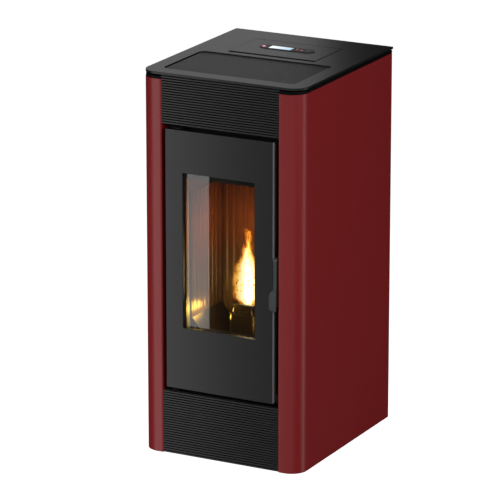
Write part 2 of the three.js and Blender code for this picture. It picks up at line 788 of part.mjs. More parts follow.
function ashDrawer() {
  const wall = 1.5;
  const play = { side: 1, back: 3 };
  const recess = { half: 28, tall: 12 };
  const x = around(fireX, ash.half - ash.wall - play.side);
  const y = [frontPlate.front + gap, ash.back - ash.wall - play.back];
  const z = [ash.bottom + ash.sill + gap, ash.top - ash.lintel - gap];
  const outer = block(x, y, z);
  const inner = block([x[0] + wall, x[1] - wall], [y[0] + wall * 2, y[1] - wall], [z[0] + wall, z[1] + over]);
  const grip = block(around(fireX, recess.half), [y[0] - over, y[0] + over], [z[1] - recess.tall, z[1] + over]);
  place('ash_drawer', cut(outer, inner, grip), galvanised());
}

// ---------------------------------------------------------------- smoke and air paths

// The smoke leaves the exchanger and enters the duct through windows this wide.
const smokeWindowX = [smoke.left + 10, smoke.right - 8];
const fanEye = 22; // radius of the round opening between the duct and the exhaust blower
const round = { drum: 20, hole: 16, pipe: 28 }; // sides of the faceted circles

// A smoke chamber above the firebox, crossed from back to front by the room-air tubes.
function heatExchanger() {
  const { half, back, top, wall } = fire;
  const front = -196;
  const low = top + wall + gap;
  const high = 868;
  const tube = { outer: 17, inner: 15, count: 5, z: 832, sides: 14 };
  const tubeStep = (2 * half) / (tube.count + 0.6);
  const shell = cut(
    block(around(fireX, half + wall), [front, back + wall], [low, high]),
    block(around(fireX, half), [front + wall, back], [low - over, high - wall]),
  );
  const centres = [];
  for (let index = 0; index < tube.count; index += 1) {
    centres.push({ x: fireX + (index - (tube.count - 1) / 2) * tubeStep, z: tube.z });
  }
  const outerTubes = centres.map((at) => bar('y', at, tube.outer, front + 1, back + wall - 1, tube.sides));
  const bores = centres.map((at) => bar('y', at, tube.inner, front - over, back + wall + over, tube.sides));
  const outlet = block(smokeWindowX, [back - over, back + wall + over], [low + 4, tube.z - tube.outer - 1]);
  place('heat_exchanger', cut(join(shell, ...outerTubes), ...bores, outlet), galvanised());
}

function smokeDuct() {
  const { left, right, front, back, bottom, top, wall } = smoke;
  const windowTop = 814;
  const outer = block([left, right], [front, back], [bottom, top]);
  const inner = block([left + wall, right - wall], [front + wall, back - wall], [bottom + wall, top - wall]);
  const inlet = block(smokeWindowX, [front - over, front + over], [fire.top + fire.wall + gap + 4, windowTop]);
  const outlet = bar('x', exhaust, fanEye, left - over, left + over, round.hole);
  place('smoke_duct', cut(outer, inner, inlet, outlet), galvanised());
}

// A round blower case with a straight outlet neck running back to the flue collar.
function exhaustHousing() {
  const { y, z, radius, left, right, wall } = exhaust;
  const neckLow = flue.z - 19;
  const neckHigh = z + radius - 2;
  const neckBack = flue.start - gap;
  const x = [left, right - gap];
  const insideX = [left + wall, right - gap - wall];
  const drum = bar('x', exhaust, radius, ...x, round.drum);
  const drumInside = bar('x', exhaust, radius - wall, ...insideX, round.drum);
  const neck = block(x, [y, neckBack], [neckLow, neckHigh]);
  const neckInside = block(insideX, [y, neckBack + over], [neckLow + wall, neckHigh - wall]);
  const eye = bar('x', exhaust, fanEye, right - over, right + over, round.hole);
  const shaftHole = bar('x', exhaust, wheelShaft + 1, left - over, left + over);
  place('exhaust_housing', cut(join(drum, neck), drumInside, neckInside, eye, shaftHole), bareSteel());
}

const wheelShaft = 4;
const bladed = { sides: 24, blade: 1.6, inset: 0.5, hub: 4 };

// A backing disc with straight blades, a hub and the shaft that reaches into the motor.
function bladedWheel(at, radius, x, bladeCount, bladeInner, disc, shaftEnd) {
  const hub = bar('x', at, wheelShaft + bladed.hub, x[0], x[1]);
  const backing = bar('x', at, radius, disc[0], disc[1], bladed.sides);
  const shaft = bar('x', at, wheelShaft, Math.min(shaftEnd, x[0]), Math.max(shaftEnd, x[1]));
  const blades = [];
  for (let index = 0; index < bladeCount; index += 1) {
    const blade = new THREE.BoxGeometry(x[1] - x[0], bladed.blade, radius - bladed.inset - bladeInner);
    blade.translate((x[0] + x[1]) / 2, 0, (radius - bladed.inset + bladeInner) / 2);
    blade.rotateX((2 * Math.PI * index) / bladeCount);
    blades.push(blade.translate(0, at.y, at.z));
  }
  return join(hub, backing, shaft, ...blades);
}

// A round motor, bored from the end that faces its wheel; shaftSide tells which end that is.
function motorCan(at, radius, x, shaftSide) {
  const boreDepth = 14;
  const can = bar('x', at, radius, x[0], x[1], round.hole);
  const face = shaftSide > 0 ? x[1] : x[0];
  const ends = [face - shaftSide * boreDepth, face + shaftSide * over].sort((a, b) => a - b);
  return cut(can, bar('x', at, wheelShaft + gap, ...ends));
}

function exhaustFan() {
  const { left, right, wall, wheel } = exhaust;
  const wheelX = [left + wall + 5, right - wall - 7];
  const disc = [left + wall + 4, left + wall + 7];
  const blades = { count: 8, inner: 12 };
  const motor = { radius: 30, length: 44, shaft: 10 };
  const impeller = bladedWheel(exhaust, wheel, wheelX, blades.count, blades.inner, disc, left - motor.shaft);
  place('exhaust_impeller', impeller, bareSteel());
  const motorX = [left - gap - motor.length, left - gap];
  place('exhaust_motor', motorCan(exhaust, motor.radius, motorX, 1), blackPaint());
}

function flueSpigot() {
  const { x, z, radius, wall, start, end } = flue;
  const flange = { thick: 2.5, side: 6, top: 2 };
  const slot = { inset: 4, half: 16 };
  const tube = bar('y', { x, z }, radius, start, end, round.pipe);
  const collarY = [start, start + flange.thick];
  const collar = block(around(x, radius + flange.side), collarY, around(z, radius + flange.top));
  const bore = bar('y', { x, z }, radius - wall, start + flange.thick, end + over, round.pipe);
  const mouthX = [exhaust.left + slot.inset, exhaust.right - slot.inset];
  const mouth = block(mouthX, [start - over, start + over], around(z, slot.half));
  place('flue_spigot', cut(join(tube, collar), bore, mouth), bareSteel());
}

function convectionFan() {
  const { y, z, radius, left, right, wall, wheel } = blower;
  const sides = round.drum;
  const mouthRadius = 34;
  const neckTop = 236;
  const neckY = [y + 18, y + radius - 2];
  const drum = bar('x', blower, radius, left, right, sides);
  const drumInside = bar('x', blower, radius - wall, left + wall, right - wall, sides);
  const neck = block([left, right], neckY, [z, neckTop]);
  const neckInside = block([left + wall, right - wall], [neckY[0] + wall, neckY[1] - wall], [z, neckTop + over]);
  const eye = bar('x', blower, mouthRadius, left - over, left + over, round.hole);
  const shaftHole = bar('x', blower, wheelShaft + 1, right - over, right + over);
  place('convection_housing', cut(join(drum, neck), drumInside, neckInside, eye, shaftHole), galvanised());
  const wheelX = [left + wall + 8, right - wall - 8];
  const disc = [right - wall - 10, right - wall - 7];
  const blades = { count: 16, inner: 34 };
  const motor = { radius: 36, length: 46, shaft: 10 };
  const impeller = bladedWheel(blower, wheel, wheelX, blades.count, blades.inner, disc, right + motor.shaft);
  place('convection_impeller', impeller, galvanised());
  const motorX = [right + gap, right + gap + motor.length];
  place('convection_motor', motorCan(blower, motor.radius, motorX, -1), blackPaint());
}

// The combustion-air pipe: straight in from the back, then an elbow into the side of the ash box.
function combustionAirPipe() {
  const { radius, wall, x, z, end, mouthY } = airPipe;
  const mouthX = fireX + ash.half + gap;
  const sides = 14;
  const rings = 8;
  const elbow = (size) => new THREE.SphereGeometry(size, sides, rings)
    .rotateX(Math.PI / 2)
    .translate(x, mouthY, z);
  const runs = (size, overrun) => join(
    bar('y', { x, z }, size, mouthY, end + overrun, sides),
    bar('x', { y: mouthY, z }, size, mouthX - overrun, x, sides),
    elbow(size),
  );
  place('combustion_air_pipe', cut(runs(radius, 0), runs(radius - wall, over)), galvanised());
}

// ---------------------------------------------------------------- pellet feed

// A four-sided funnel piece between two rectangles, as a closed solid.
function frustum(lowX, lowY, lowZ, highX, highY, highZ) {
  const corners = [];
  for (const [x, y, z] of [[lowX, lowY, lowZ], [highX, highY, highZ]]) {
    corners.push(x[0], y[0], z, x[1], y[0], z, x[1], y[1], z, x[0], y[1], z);
  }
  const faces = [0, 2, 1, 0, 3, 2, 4, 5, 6, 4, 6, 7];
  for (let side = 0; side < 4; side += 1) {
    const next = (side + 1) % 4;
    faces.push(side, next, next + 4, side, next + 4, side + 4);
  }
  const geometry = new THREE.BufferGeometry();
  geometry.setAttribute('position', new THREE.Float32BufferAttribute(corners, 3));
  geometry.setIndex(faces);
  return geometry;
}

function hopperBody(inset, top, bottomRun) {
  const { half, front, back, shoulder, bottom } = hopper;
  const x = around(0, half - inset);
  const y = [front + inset, back - inset];
  const throatX = around(fireX, throat.half - inset);
  const throatY = [throat.front + inset, throat.back - inset];
  const upper = block(x, y, [shoulder - 1, top]);
  const funnel = frustum(throatX, throatY, bottom, x, y, shoulder);
  const pieces = [upper, funnel];
  if (bottomRun > 0) {
    pieces.push(block(throatX, throatY, [bottom - bottomRun, bottom + 1]));
  }
  return join(...pieces);
}

function pelletHopper() {
  const outside = hopperBody(0, hopper.top, 0);
  const inside = hopperBody(hopper.wall, hopper.top + over, over);
  place('pellet_hopper', cut(outside, inside), galvanised());
}

// A bar grid that keeps hands away from the screw, lying on the shoulder of the hopper.
function hopperGuard() {
  const z = [960, 964]; // just above the shoulder
  const rim = 6;
  const x = around(0, hopper.half - hopper.wall - gap);
  const y = [hopper.front + hopper.wall + gap, hopper.back - hopper.wall - gap];
  const bars = { count: 7, width: 3 };
  const frame = upright(rectangle(x, y), z, [rectangle([x[0] + rim, x[1] - rim], [y[0] + rim, y[1] - rim])]);
  const step = (x[1] - x[0] - 2 * rim) / (bars.count + 1);
  const rods = [];
  for (let index = 1; index <= bars.count; index += 1) {
    rods.push(block(around(x[0] + rim + index * step, bars.width / 2), [y[0] + 1, y[1] - 1], z));
  }
  place('hopper_guard', join(frame, ...rods), bareSteel());
}

// The feed slopes at 45 degrees: this turns a piece built up along +Z onto the slope, low end at the back.
const feedLow = { y: 150, z: auger.sum - 150 };

function onSlope(geometry) {
  return geometry.rotateX(Math.PI / 4).translate(fireX, feedLow.y, feedLow.z);
}

// The drop chute's section in the y-z plane, widened or narrowed by an inset on its two sloping walls.
function chuteSection(inset, frontY, topTrim) {
  const reach = (chute.half - inset) * Math.SQRT2;
  const middle = auger.sum - 2 * (feedLow.y - auger.length * Math.SQRT1_2 + chute.back * Math.SQRT1_2);
  const lower = middle - reach;
  const upper = middle + reach;
  const end = auger.sum - topTrim;
  return [
    [frontY, frontY + lower],
    [(end - lower) / 2, (end + lower) / 2],
    [(end - upper) / 2, (end + upper) / 2],
    [frontY, frontY + upper],
  ];
}

function chuteOpening() {
  const play = 0.6;
  const front = -80;
  return across(chuteSection(-play, front, 60), around(fireX, chute.half + play));
}

// Tube, inlet box below the hopper and drop chute to the firebox, welded together.
function augerTube() {
  const { radius, wall, length } = auger;
  const linerFace = fire.back - 2 * liner.base - 1;
  const tube = onSlope(bar('z', {}, radius, 0, length, round.drum));
  const bore = onSlope(bar('z', {}, radius - wall, wall, length - wall, round.drum));
  const shaftHole = onSlope(bar('z', {}, auger.shaft + gap, -over, over));
  const inletX = around(fireX, throat.half - 1);
  const inletY = [throat.front + 1, throat.back - 1];
  const inletTop = hopper.bottom - gap;
  const inletLow = 430;
  const inlet = block(inletX, inletY, [inletLow, inletTop]);
  const insideX = [inletX[0] + wall, inletX[1] - wall];
  const insideY = [inletY[0] + wall, inletY[1] - wall];
  const inletHole = block(insideX, insideY, [inletLow - over * 2, inletTop + over]);
  const drop = across(chuteSection(0, linerFace, 20), around(fireX, chute.half));
  const dropHole = across(chuteSection(chute.wall, linerFace - over, 10), around(fireX, chute.half - chute.wall));
  place('auger_tube', cut(join(tube, inlet, drop), bore, inletHole, dropHole, shaftHole), bareSteel());
}

// A ribbon wound round the shaft, closed at both ends.
function flightRibbon(inner, outer, pitch, turns, thick, stepsPerTurn) {
  const corners = [];
  const faces = [];
  const steps = Math.round(turns * stepsPerTurn);
  for (let step = 0; step <= steps; step += 1) {
    const angle = (2 * Math.PI * step) / stepsPerTurn;
    const height = (pitch * step) / stepsPerTurn;
    for (const [radius, lift] of [[inner, 0], [outer, 0], [outer, thick], [inner, thick]]) {
      corners.push(radius * Math.cos(angle), radius * Math.sin(angle), height + lift);
    }
  }
  for (let step = 0; step < steps; step += 1) {
    for (let side = 0; side < 4; side += 1) {
      const a = step * 4 + side;
      const b = step * 4 + ((side + 1) % 4);
      faces.push(a, b + 4, b, a, a + 4, b + 4);
    }
  }
  const last = steps * 4;
  faces.push(0, 1, 2, 0, 2, 3, last, last + 2, last + 1, last, last + 3, last + 2);
  const geometry = new THREE.BufferGeometry();
  geometry.setAttribute('position', new THREE.Float32BufferAttribute(corners, 3));
  geometry.setIndex(faces);
  return geometry;
}

function augerScrew() {
  const { flight, shaft, pitch, length, wall } = auger;
  const lowEnd = wall + 4;
  const clear = 12; // room left at the two ends of the flight
  const thick = 3;
  const stepsPerTurn = 12;
  const shaftEnds = [-14, length - wall - 3];
  const turns = (length - 2 * wall - clear) / pitch;
  const ribbon = flightRibbon(shaft / 2, flight, pitch, turns, thick, stepsPerTurn);
  ribbon.rotateZ(Math.PI / stepsPerTurn).translate(0, 0, lowEnd);
  const core = bar('z', {}, shaft, ...shaftEnds);
  place('auger_screw', onSlope(join(core, ribbon)), bareSteel());
}

function augerGearmotor() {
  const box = { half: 33, length: 34 };
  const motor = { radius: 26, end: 78 };
  const boreDepth = 16;
  const gearbox = onSlope(block(around(0, box.half), around(0, box.half), [-box.length, -gap]));
  const can = onSlope(bar('z', {}, motor.radius, -motor.end, 1 - box.length, round.hole));
  const bore = onSlope(bar('z', {}, auger.shaft + gap, -boreDepth, over));
  place('auger_gearmotor', cut(join(gearbox, can), bore), blackPaint());
}

// ---------------------------------------------------------------- back of the stove

// An open sheet tray on the right wall with the circuit board across it and a relay on the board.
function controlBoardBox() {
  const x = [184, rear.half - 4];
  const y = [60, 200];
  const z = [330, 520];
  const wall = 2;
  const card = { depth: 10, thick: 2, inset: 10 };
  const relayBlock = { y: [90, 130], z: [440, 490], height: 9 };
  const shell = block(x, y, z);
  const inside = block([x[0] - over, x[1] - wall], [y[0] + wall, y[1] - wall], [z[0] + wall, z[1] - wall]);
  const cardFace = x[0] + card.depth;
  const boardY = [y[0] + card.inset, y[1] - card.inset];
  const board = block([cardFace, cardFace + card.thick], boardY, [z[0] + 1, z[1] - 1]);
  const relay = block([cardFace - relayBlock.height, cardFace + 1], relayBlock.y, relayBlock.z);
  place('control_board_box', join(cut(shell, inside), board, relay), galvanised());
}

function rearPanel() {
  const { front, back, half, bottom, top } = rear;
  const through = [front - over, back + over];
  const vent = { tall: 5, pitch: 14, rows: 8, half: 34 };
  const pipePlay = 1.5;
  const slots = [];
  for (const [middle, low] of [[-20, 70], [60, 70], [-60, 840], [60, 840]]) {
    for (let row = 0; row < vent.rows; row += 1) {
      const z = low + row * vent.pitch;
      slots.push(block(around(middle, vent.half), through, [z, z + vent.tall]));
    }
  }
  const inletZ = [inlet.z - inlet.tall, rocker.z + rocker.tall];
  const holes = [
    bar('y', flue, flue.radius + pipePlay, ...through, round.pipe),
    bar('y', airPipe, airPipe.radius + pipePlay, ...through, round.drum),
    block(around(inlet.x, inlet.half), through, inletZ),
  ];
  const sheet = block(around(0, half), [front, back], [bottom, top]);
  place('rear_panel', cut(sheet, ...slots, ...holes), blackPaint());
}

// An appliance inlet and the well of the mains switch above it, moulded as one piece in the back panel.
function powerInlet() {
  const { x, z, half, tall } = inlet;
  const flange = { side: 6, low: z - tall - 4, high: rocker.z + rocker.tall + 4, thick: 3 };
  const wellWall = 4;
  const floor = 6; // thickness behind the socket
  const switchDepth = 12;
  const pin = { step: 8, half: 1, tall: 2.5, base: 4, drop: -2, rise: 3 };
  const face = rear.back + gap;
  const front = rear.front - 24;
  const rim = block(around(x, half + flange.side), [face, face + flange.thick], [flange.low, flange.high]);
  const shell = block(around(x, half - gap), [front, face + 1], [z - tall + gap, rocker.z + rocker.tall - gap]);
  const well = block(around(x, half - wellWall), [front + floor, face + over], around(z, tall - wellWall));
  const switchY = [rear.front - switchDepth, face + over];
  const switchWell = block(around(x, rocker.half), switchY, around(rocker.z, rocker.tall - 2));
  const pins = [-1, 0, 1].map((column) => block(
    around(x + column * pin.step, pin.half),
    [front + pin.base, face - pin.base],
    around(z + (column === 0 ? pin.rise : pin.drop), pin.tall),
  ));
  place('power_inlet', join(cut(join(rim, shell), well, switchWell), ...pins), blackPlastic());
}

// The two-way rocker: its face is a shallow V, so one half stands proud at either end of its travel.
function powerSwitch() {
  const middle = rear.back + gap + 3;
  const rise = 3.6;
  const dip = 1.6;
  const draft = 0.5;
  const keel = { deep: 7, half: 4 };
  const reach = rocker.tall - 3.5;
  const outline = [
    [middle - keel.deep, rocker.z - keel.half],
    [middle, rocker.z - reach],
    [middle + rise, rocker.z - reach + draft],
    [middle + rise - dip, rocker.z],
    [middle + rise, rocker.z + reach - draft],
    [middle, rocker.z + reach],
    [middle - keel.deep, rocker.z + keel.half],
  ];
  const pivotY = rear.back + 1.6;
  const paddle = across(outline, around(inlet.x, rocker.half - gap)).translate(0, -pivotY, -rocker.z);
  paddle.rotateX(THREE.MathUtils.degToRad(rocker.tilt)).translate(0, pivotY, rocker.z);
  place('power_switch', paddle, blackPlastic());
}

// ---------------------------------------------------------------- the whole stove

baseTray();
levellingFeet();
sidePanel('side_panel_left', -1);
sidePanel('side_panel_right', 1);
topDeck();
topPlate();
topGrille();
hopperLid();
lidSeal();
controlPanel();
displayWindow();
panelButtons();
louvrePanel('upper_louvre', louvre.upperBottom, louvre.upperTop, ridges.upper);
louvrePanel('lower_louvre', body.bottom, louvre.lowerTop, ridges.lower);
frontPlateSheet();
doorPanel();
doorGlass();
doorInnerFrame();
doorRopeSeal();
doorHinges();
doorHandle();
latchStrike();
fireboxShell();
backLiner();
sideLiner('left_liner', -1);
sideLiner('right_liner', 1);
baffle();
ashFunnel();
ignition();
potSupport();
burnPot();
ashBox();
ashDrawer();
heatExchanger();
smokeDuct();
exhaustHousing();
exhaustFan();
flueSpigot();
convectionFan();
combustionAirPipe();
pelletHopper();
hopperGuard();
augerTube();
augerScrew();
augerGearmotor();
controlBoardBox();
rearPanel();
powerInlet();
powerSwitch();

export default stove;
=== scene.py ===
# %% [markdown]
# # A pellet stove
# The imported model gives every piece's place and how it moves. This file gives the stove its looks: rounded
# sheet metal, bevelled plates, paint, glass and fire. It is read from top to bottom, one piece at a time.

# %% Load the frame
import json
import math

import bmesh
import bpy
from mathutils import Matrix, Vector


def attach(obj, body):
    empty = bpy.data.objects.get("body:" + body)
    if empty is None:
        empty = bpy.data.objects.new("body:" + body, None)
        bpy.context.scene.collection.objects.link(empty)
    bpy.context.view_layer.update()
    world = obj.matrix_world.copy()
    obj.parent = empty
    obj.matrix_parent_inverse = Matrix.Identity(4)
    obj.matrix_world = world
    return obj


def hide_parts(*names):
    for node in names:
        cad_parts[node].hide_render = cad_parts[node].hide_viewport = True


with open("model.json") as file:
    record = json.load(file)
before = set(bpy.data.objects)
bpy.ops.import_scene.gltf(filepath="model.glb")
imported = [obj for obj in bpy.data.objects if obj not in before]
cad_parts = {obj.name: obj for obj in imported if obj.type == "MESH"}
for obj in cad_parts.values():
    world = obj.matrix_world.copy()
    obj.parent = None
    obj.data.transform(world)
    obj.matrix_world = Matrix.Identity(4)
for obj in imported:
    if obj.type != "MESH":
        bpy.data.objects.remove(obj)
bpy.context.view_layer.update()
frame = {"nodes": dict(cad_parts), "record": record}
nodes = frame["nodes"]
print("CAD nodes:", len(nodes))

# %% [markdown]
# ## Measures
# Blender works in metres, and a stove maker works in millimetres. Every size below is in millimetres, and one
# constant turns it into metres. The names are the ones that the sheet-metal drawings would use.

# %% Sizes in millimetres
MM = 0.001
GAP = 0.4
OVER = 5  # a cutting tool sticks out of what it cuts by this much
CASING = {"half": 226.7, "front": -262.2, "back": 262.2, "bottom": 3, "top": 1000, "corner": 41.6, "sheet": 2}
BAY = {"half": 168.7, "depth": 50}
HEM = 18
DECK = {"bottom": 1000.4, "top": 1007.5, "proud": 1, "sheet": 2, "flange": 3}
SPACER = {"x": 204.7, "front": -182.6, "back": 224.2, "radius": 8}
PLATE = {"half": 230.2, "front": -260.4, "back": 264.2, "bottom": 1010.5, "top": 1016.8, "corner": 42}
GRILLE = {"half": 189, "front": -216, "back": -4, "corner": 16, "sunk": 3, "sheet": 1.5, "margin": 8}
HOPPER_MOUTH = {"half": 118, "front": 31, "back": 171}
LID = {"half": 124.5, "front": 27, "axis_y": 176, "axis_z": 1013.6, "barrel": 3.8, "thick": 6}
FINGER_GAP = 10.5
PANEL = {"x": 0.5, "y": 109, "half": 78, "radius": 19, "lip": 4, "rise": 0.8, "depth": 15}
DISPLAY = {"x": -17, "length": 62, "width": 24, "rise": 0.3, "depth": 1}
KEY = {"rise": 0.7, "height": 4.2, "rounding": 0.6, "well": 4.9}
LOUVRE = {"half": 167.9, "depth": 10.2, "groove": 4, "flange_back": -228.4, "flange": 2}
DOOR = {"left": -154.9, "right": 152, "bottom": 185, "top": 873, "front": -265.3, "back": -253.3}
PANE = {"left": -105.6, "right": 100.6, "bottom": 350, "top": 762}
HINGE = {"x": -130, "y": -259.3, "pin": 4, "bite": 13}
FIRE = {"x": -2.5, "y": -100}
lid_top = LID["axis_z"] + LID["barrel"]
panel_top = lid_top + GAP + PANEL["rise"]
print("Stove height:", round(panel_top + KEY["rise"], 1), "mm")

# %% [markdown]
# ## Small tools for modelling
# Modelling by hand in Blender is: add a primitive, go into edit mode, pick some faces or edges, and use a
# tool on them. A script does the same, so these helpers add a shape at its place, pick by place, and apply
# a tool.

# %% Add shapes
def settle(name):
    """Names the shape that was just added and puts its place, turn and scale into its mesh."""
    piece = bpy.context.active_object
    piece.name = piece.data.name = name
    bpy.ops.object.transform_apply(location=True, rotation=True, scale=True)
    return piece


def add_block(name, x, y, z):
    """A block that fills the spans of x, y and z."""
    bpy.ops.object.select_all(action="DESELECT")
    middle = [sum(span) / 2 * MM for span in (x, y, z)]
    size = [(span[1] - span[0]) * MM for span in (x, y, z)]
    bpy.ops.mesh.primitive_cube_add(size=1, location=middle, scale=size)
    return settle(name)


def add_plane(name, middle, width, length, turn=(0, 0, 0)):
    """A flat rectangle, turned about its middle."""
    bpy.ops.object.select_all(action="DESELECT")
    bpy.ops.mesh.primitive_plane_add(size=1, location=[value * MM for value in middle], rotation=turn)
    bpy.context.active_object.scale = (width * MM, length * MM, 1)
    return settle(name)


def add_rod(name, start, end, radius, sides=32):
    """A round bar from one point to another."""
    bpy.ops.object.select_all(action="DESELECT")
    a, b = Vector(start) * MM, Vector(end) * MM
    turn = Vector((0, 0, 1)).rotation_difference(b - a).to_euler()
    bpy.ops.mesh.primitive_cylinder_add(
        vertices=sides, radius=radius * MM, depth=(b - a).length, location=(a + b) / 2, rotation=turn)
    return settle(name)


def about(middle, half):
    """The span that reaches half each way from its middle."""
    return (middle - half, middle + half)


# %% Pick and shape
def edit(piece, mode):
    """Opens a piece in edit mode with nothing picked."""
    bpy.ops.object.select_all(action="DESELECT")
    bpy.context.view_layer.objects.active = piece
    piece.select_set(True)
    bpy.ops.object.mode_set(mode="EDIT")
    bpy.ops.mesh.select_mode(type=mode)
    bpy.ops.mesh.select_all(action="DESELECT")


def pick_edges(piece, test):
    """Opens a piece and picks each edge whose middle, in mm, and direction pass the test."""
    edit(piece, "EDGE")
    mesh = bmesh.from_edit_mesh(piece.data)
    for edge in mesh.edges:
        a, b = (corner.co / MM for corner in edge.verts)
        if test((a + b) / 2, (b - a).normalized()):
            edge.select_set(True)
    bmesh.update_edit_mesh(piece.data)


def pick_faces(piece, test):
    """Opens a piece and picks each face whose middle, in mm, and normal pass the test."""
    edit(piece, "FACE")
    mesh = bmesh.from_edit_mesh(piece.data)
    for face in mesh.faces:
        if test(face.calc_center_median() / MM, face.normal):
            face.select_set(True)
    bmesh.update_edit_mesh(piece.data)


def close_edit():
    bpy.ops.object.mode_set(mode="OBJECT")


def round_edges(piece, radius, segments, test):
    """Rounds the edges that pass the test."""
    pick_edges(piece, test)
    bpy.ops.mesh.bevel(offset=radius * MM, segments=segments, affect="EDGES")
    close_edit()
    return piece


def upright(middle, direction):
    return abs(direction.z) > 0.99


def round_corners(piece, radius, segments=10, test=upright):
    return round_edges(piece, radius, segments, test)


# %% Finish shapes
def apply_modifier(piece, kind, **settings):
    """Adds a modifier with its settings and applies it at once."""
    bpy.ops.object.select_all(action="DESELECT")
    bpy.context.view_layer.objects.active = piece
    piece.select_set(True)
    modifier = piece.modifiers.new(kind.title(), kind)
    for key, value in settings.items():
        setattr(modifier, key, value)
    bpy.ops.object.modifier_apply(modifier=modifier.name)
    return piece


def repeat(piece, count, step, **settings):
    """Repeats a piece, each copy one step in mm further on."""
    return apply_modifier(piece, "ARRAY", count=count, use_relative_offset=False, use_constant_offset=True,
                          constant_offset_displace=[value * MM for value in step], **settings)


def cut(piece, *tools):
    """Cuts each tool out of the piece and throws the tool away."""
    for tool in tools:
        apply_modifier(piece, "BOOLEAN", operation="DIFFERENCE", object=tool, solver="EXACT")
        bpy.data.objects.remove(tool)
    return piece


def weld(piece, *others):
    """Joins other shapes to a piece as one mesh."""
    bpy.ops.object.select_all(action="DESELECT")
    for other in others:
        other.select_set(True)
    piece.select_set(True)
    bpy.context.view_layer.objects.active = piece
    bpy.ops.object.join()
    return piece


def soften(piece, width, segments=2, degrees=35):
    """Rounds every sharp edge a little and smooths the shading across the round ones."""
    if width:
        apply_modifier(piece, "BEVEL", width=width * MM, segments=segments, limit_method="ANGLE",
                       angle_limit=math.radians(degrees), miter_outer="MITER_ARC")
    bpy.ops.object.select_all(action="DESELECT")
    bpy.context.view_layer.objects.active = piece
    piece.select_set(True)
    bpy.ops.object.shade_smooth_by_angle(angle=math.radians(degrees))
    return apply_modifier(piece, "WEIGHTED_NORMAL", keep_sharp=True)


def mirror(piece, name):
    """A copy of a piece on the other side of the stove."""
    bpy.ops.object.select_all(action="DESELECT")
    bpy.context.view_layer.objects.active = piece
    piece.select_set(True)
    bpy.ops.object.duplicate()
    other = bpy.context.active_object
    other.name = other.data.name = name
    other.scale.x = -1
    bpy.ops.object.transform_apply(location=False, rotation=False, scale=True)
    edit(other, "FACE")
    bpy.ops.mesh.select_all(action="SELECT")
    bpy.ops.mesh.normals_make_consistent(inside=False)
    close_edit()
    return other


def copy_of(node, name):
    """A merged copy of a CAD node's loose triangles, as a start for a piece with rounded edges."""
    piece = bpy.data.objects.new(name, nodes[node].data.copy())
    bpy.context.scene.collection.objects.link(piece)
    edit(piece, "VERT")
    bpy.ops.mesh.select_all(action="SELECT")
    bpy.ops.mesh.remove_doubles(threshold=0.01 * MM)
    bpy.ops.mesh.dissolve_limited(angle_limit=math.radians(2))
    close_edit()
    return piece


def mount(piece, material, body, slot, *replaced):
    """Gives a piece its finish and its body, and hides the CAD nodes that it stands for. The slot is not
    used.
    """
    piece.data.materials.clear()
    piece.data.materials.append(material)
    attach(piece, body)
    if replaced:
        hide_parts(*replaced)
    return piece


# %% [markdown]
# ## Finishes
# A finish starts from what the real surface is and how it was made. Paint on a stove is baked powder: it
# has a fine skin of bumps, a little darker and lighter from place to place. Each finish is a small tree of
# nodes: noise at the size of the real grain goes into colour, roughness and bump.

# %% Tools for finishes
def srgb(hex_colour):
    """Turns a hex colour as seen on a screen into the linear values that the shader wants."""
    parts = [int(hex_colour[i:i + 2], 16) / 255 for i in (1, 3, 5)]
    return [p / 12.92 if p <= 0.04045 else ((p + 0.055) / 1.055) ** 2.4 for p in parts] + [1.0]


def add(tree, kind, inputs=None, **settings):
    """Adds a node with its settings. An input is a value, or another node's socket to link from."""
    node = tree.nodes.new("ShaderNode" + kind)
    for key, value in settings.items():
        setattr(node, key, value)
    for socket, value in (inputs or {}).items():
        if isinstance(value, bpy.types.NodeSocket):
            tree.links.new(value, node.inputs[socket])
        else:
            node.inputs[socket].default_value = value
    return node


def new_material(name):
    """An empty material, its tree, and the place of each point on the piece."""
    material = bpy.data.materials.new(name)
    material.use_nodes = True
    tree = material.node_tree
    tree.nodes.clear()
    place = add(tree, "TexCoord").outputs["Object"]
    return material, tree, place


def grainy(name, dark, light, grain, bump, roughness, spread=0.08, metallic=0.0, **shader):
    """A finish with grain of one real size in mm: mottled colour, uneven gloss and fine bumps."""
    material, tree, place = new_material(name)
    fine = add(tree, "TexNoise", {"Vector": place, "Scale": 1000 / grain, "Detail": 3.0, "Roughness": 0.6})
    broad = add(tree, "TexNoise", {"Vector": place, "Scale": 1000 / (grain * 60), "Detail": 2.0})
    colour = add(tree, "MixRGB", {0: broad.outputs["Fac"], 1: srgb(dark), 2: srgb(light)})
    gloss = add(tree, "MapRange", {"Value": fine.outputs["Fac"], "To Min": roughness - spread,
                                   "To Max": roughness + spread})
    bumps = add(tree, "Bump", {"Height": fine.outputs["Fac"], "Strength": bump, "Distance": grain * MM * 0.3})
    surface = add(tree, "BsdfPrincipled", {
        "Base Color": colour.outputs["Color"], "Roughness": gloss.outputs["Result"],
        "Normal": bumps.outputs["Normal"], "Metallic": metallic,
        **{key.replace("_", " "): value for key, value in shader.items()}})
    add(tree, "OutputMaterial", {"Surface": surface.outputs["BSDF"]})
    return material


# %% Paints
# Red polyester powder coat: a satin skin with fine orange peel, so lights show as broad soft bands.
red_powder_coat = grainy("red_powder_coat", "#932224", "#982426", grain=1.2, bump=0.06, roughness=0.36)
# Black heat-resistant paint with a fine texture: satin, grey where light grazes it.
black_stove_paint = grainy("black_stove_paint", "#161616", "#1a1a1a", grain=0.7, bump=0.12, roughness=0.34)
# Dark grey paint on the top plate: the same texture, a little duller.
grey_stove_paint = grainy("grey_stove_paint", "#161617", "#1b1b1c", grain=0.7, bump=0.1, roughness=0.36)
# The grille's sheet has the same paint sprayed thinner, which leaves it a little smoother.
grille_paint = grainy("grille_paint", "#161617", "#1b1b1c", grain=0.7, bump=0.08, roughness=0.36)
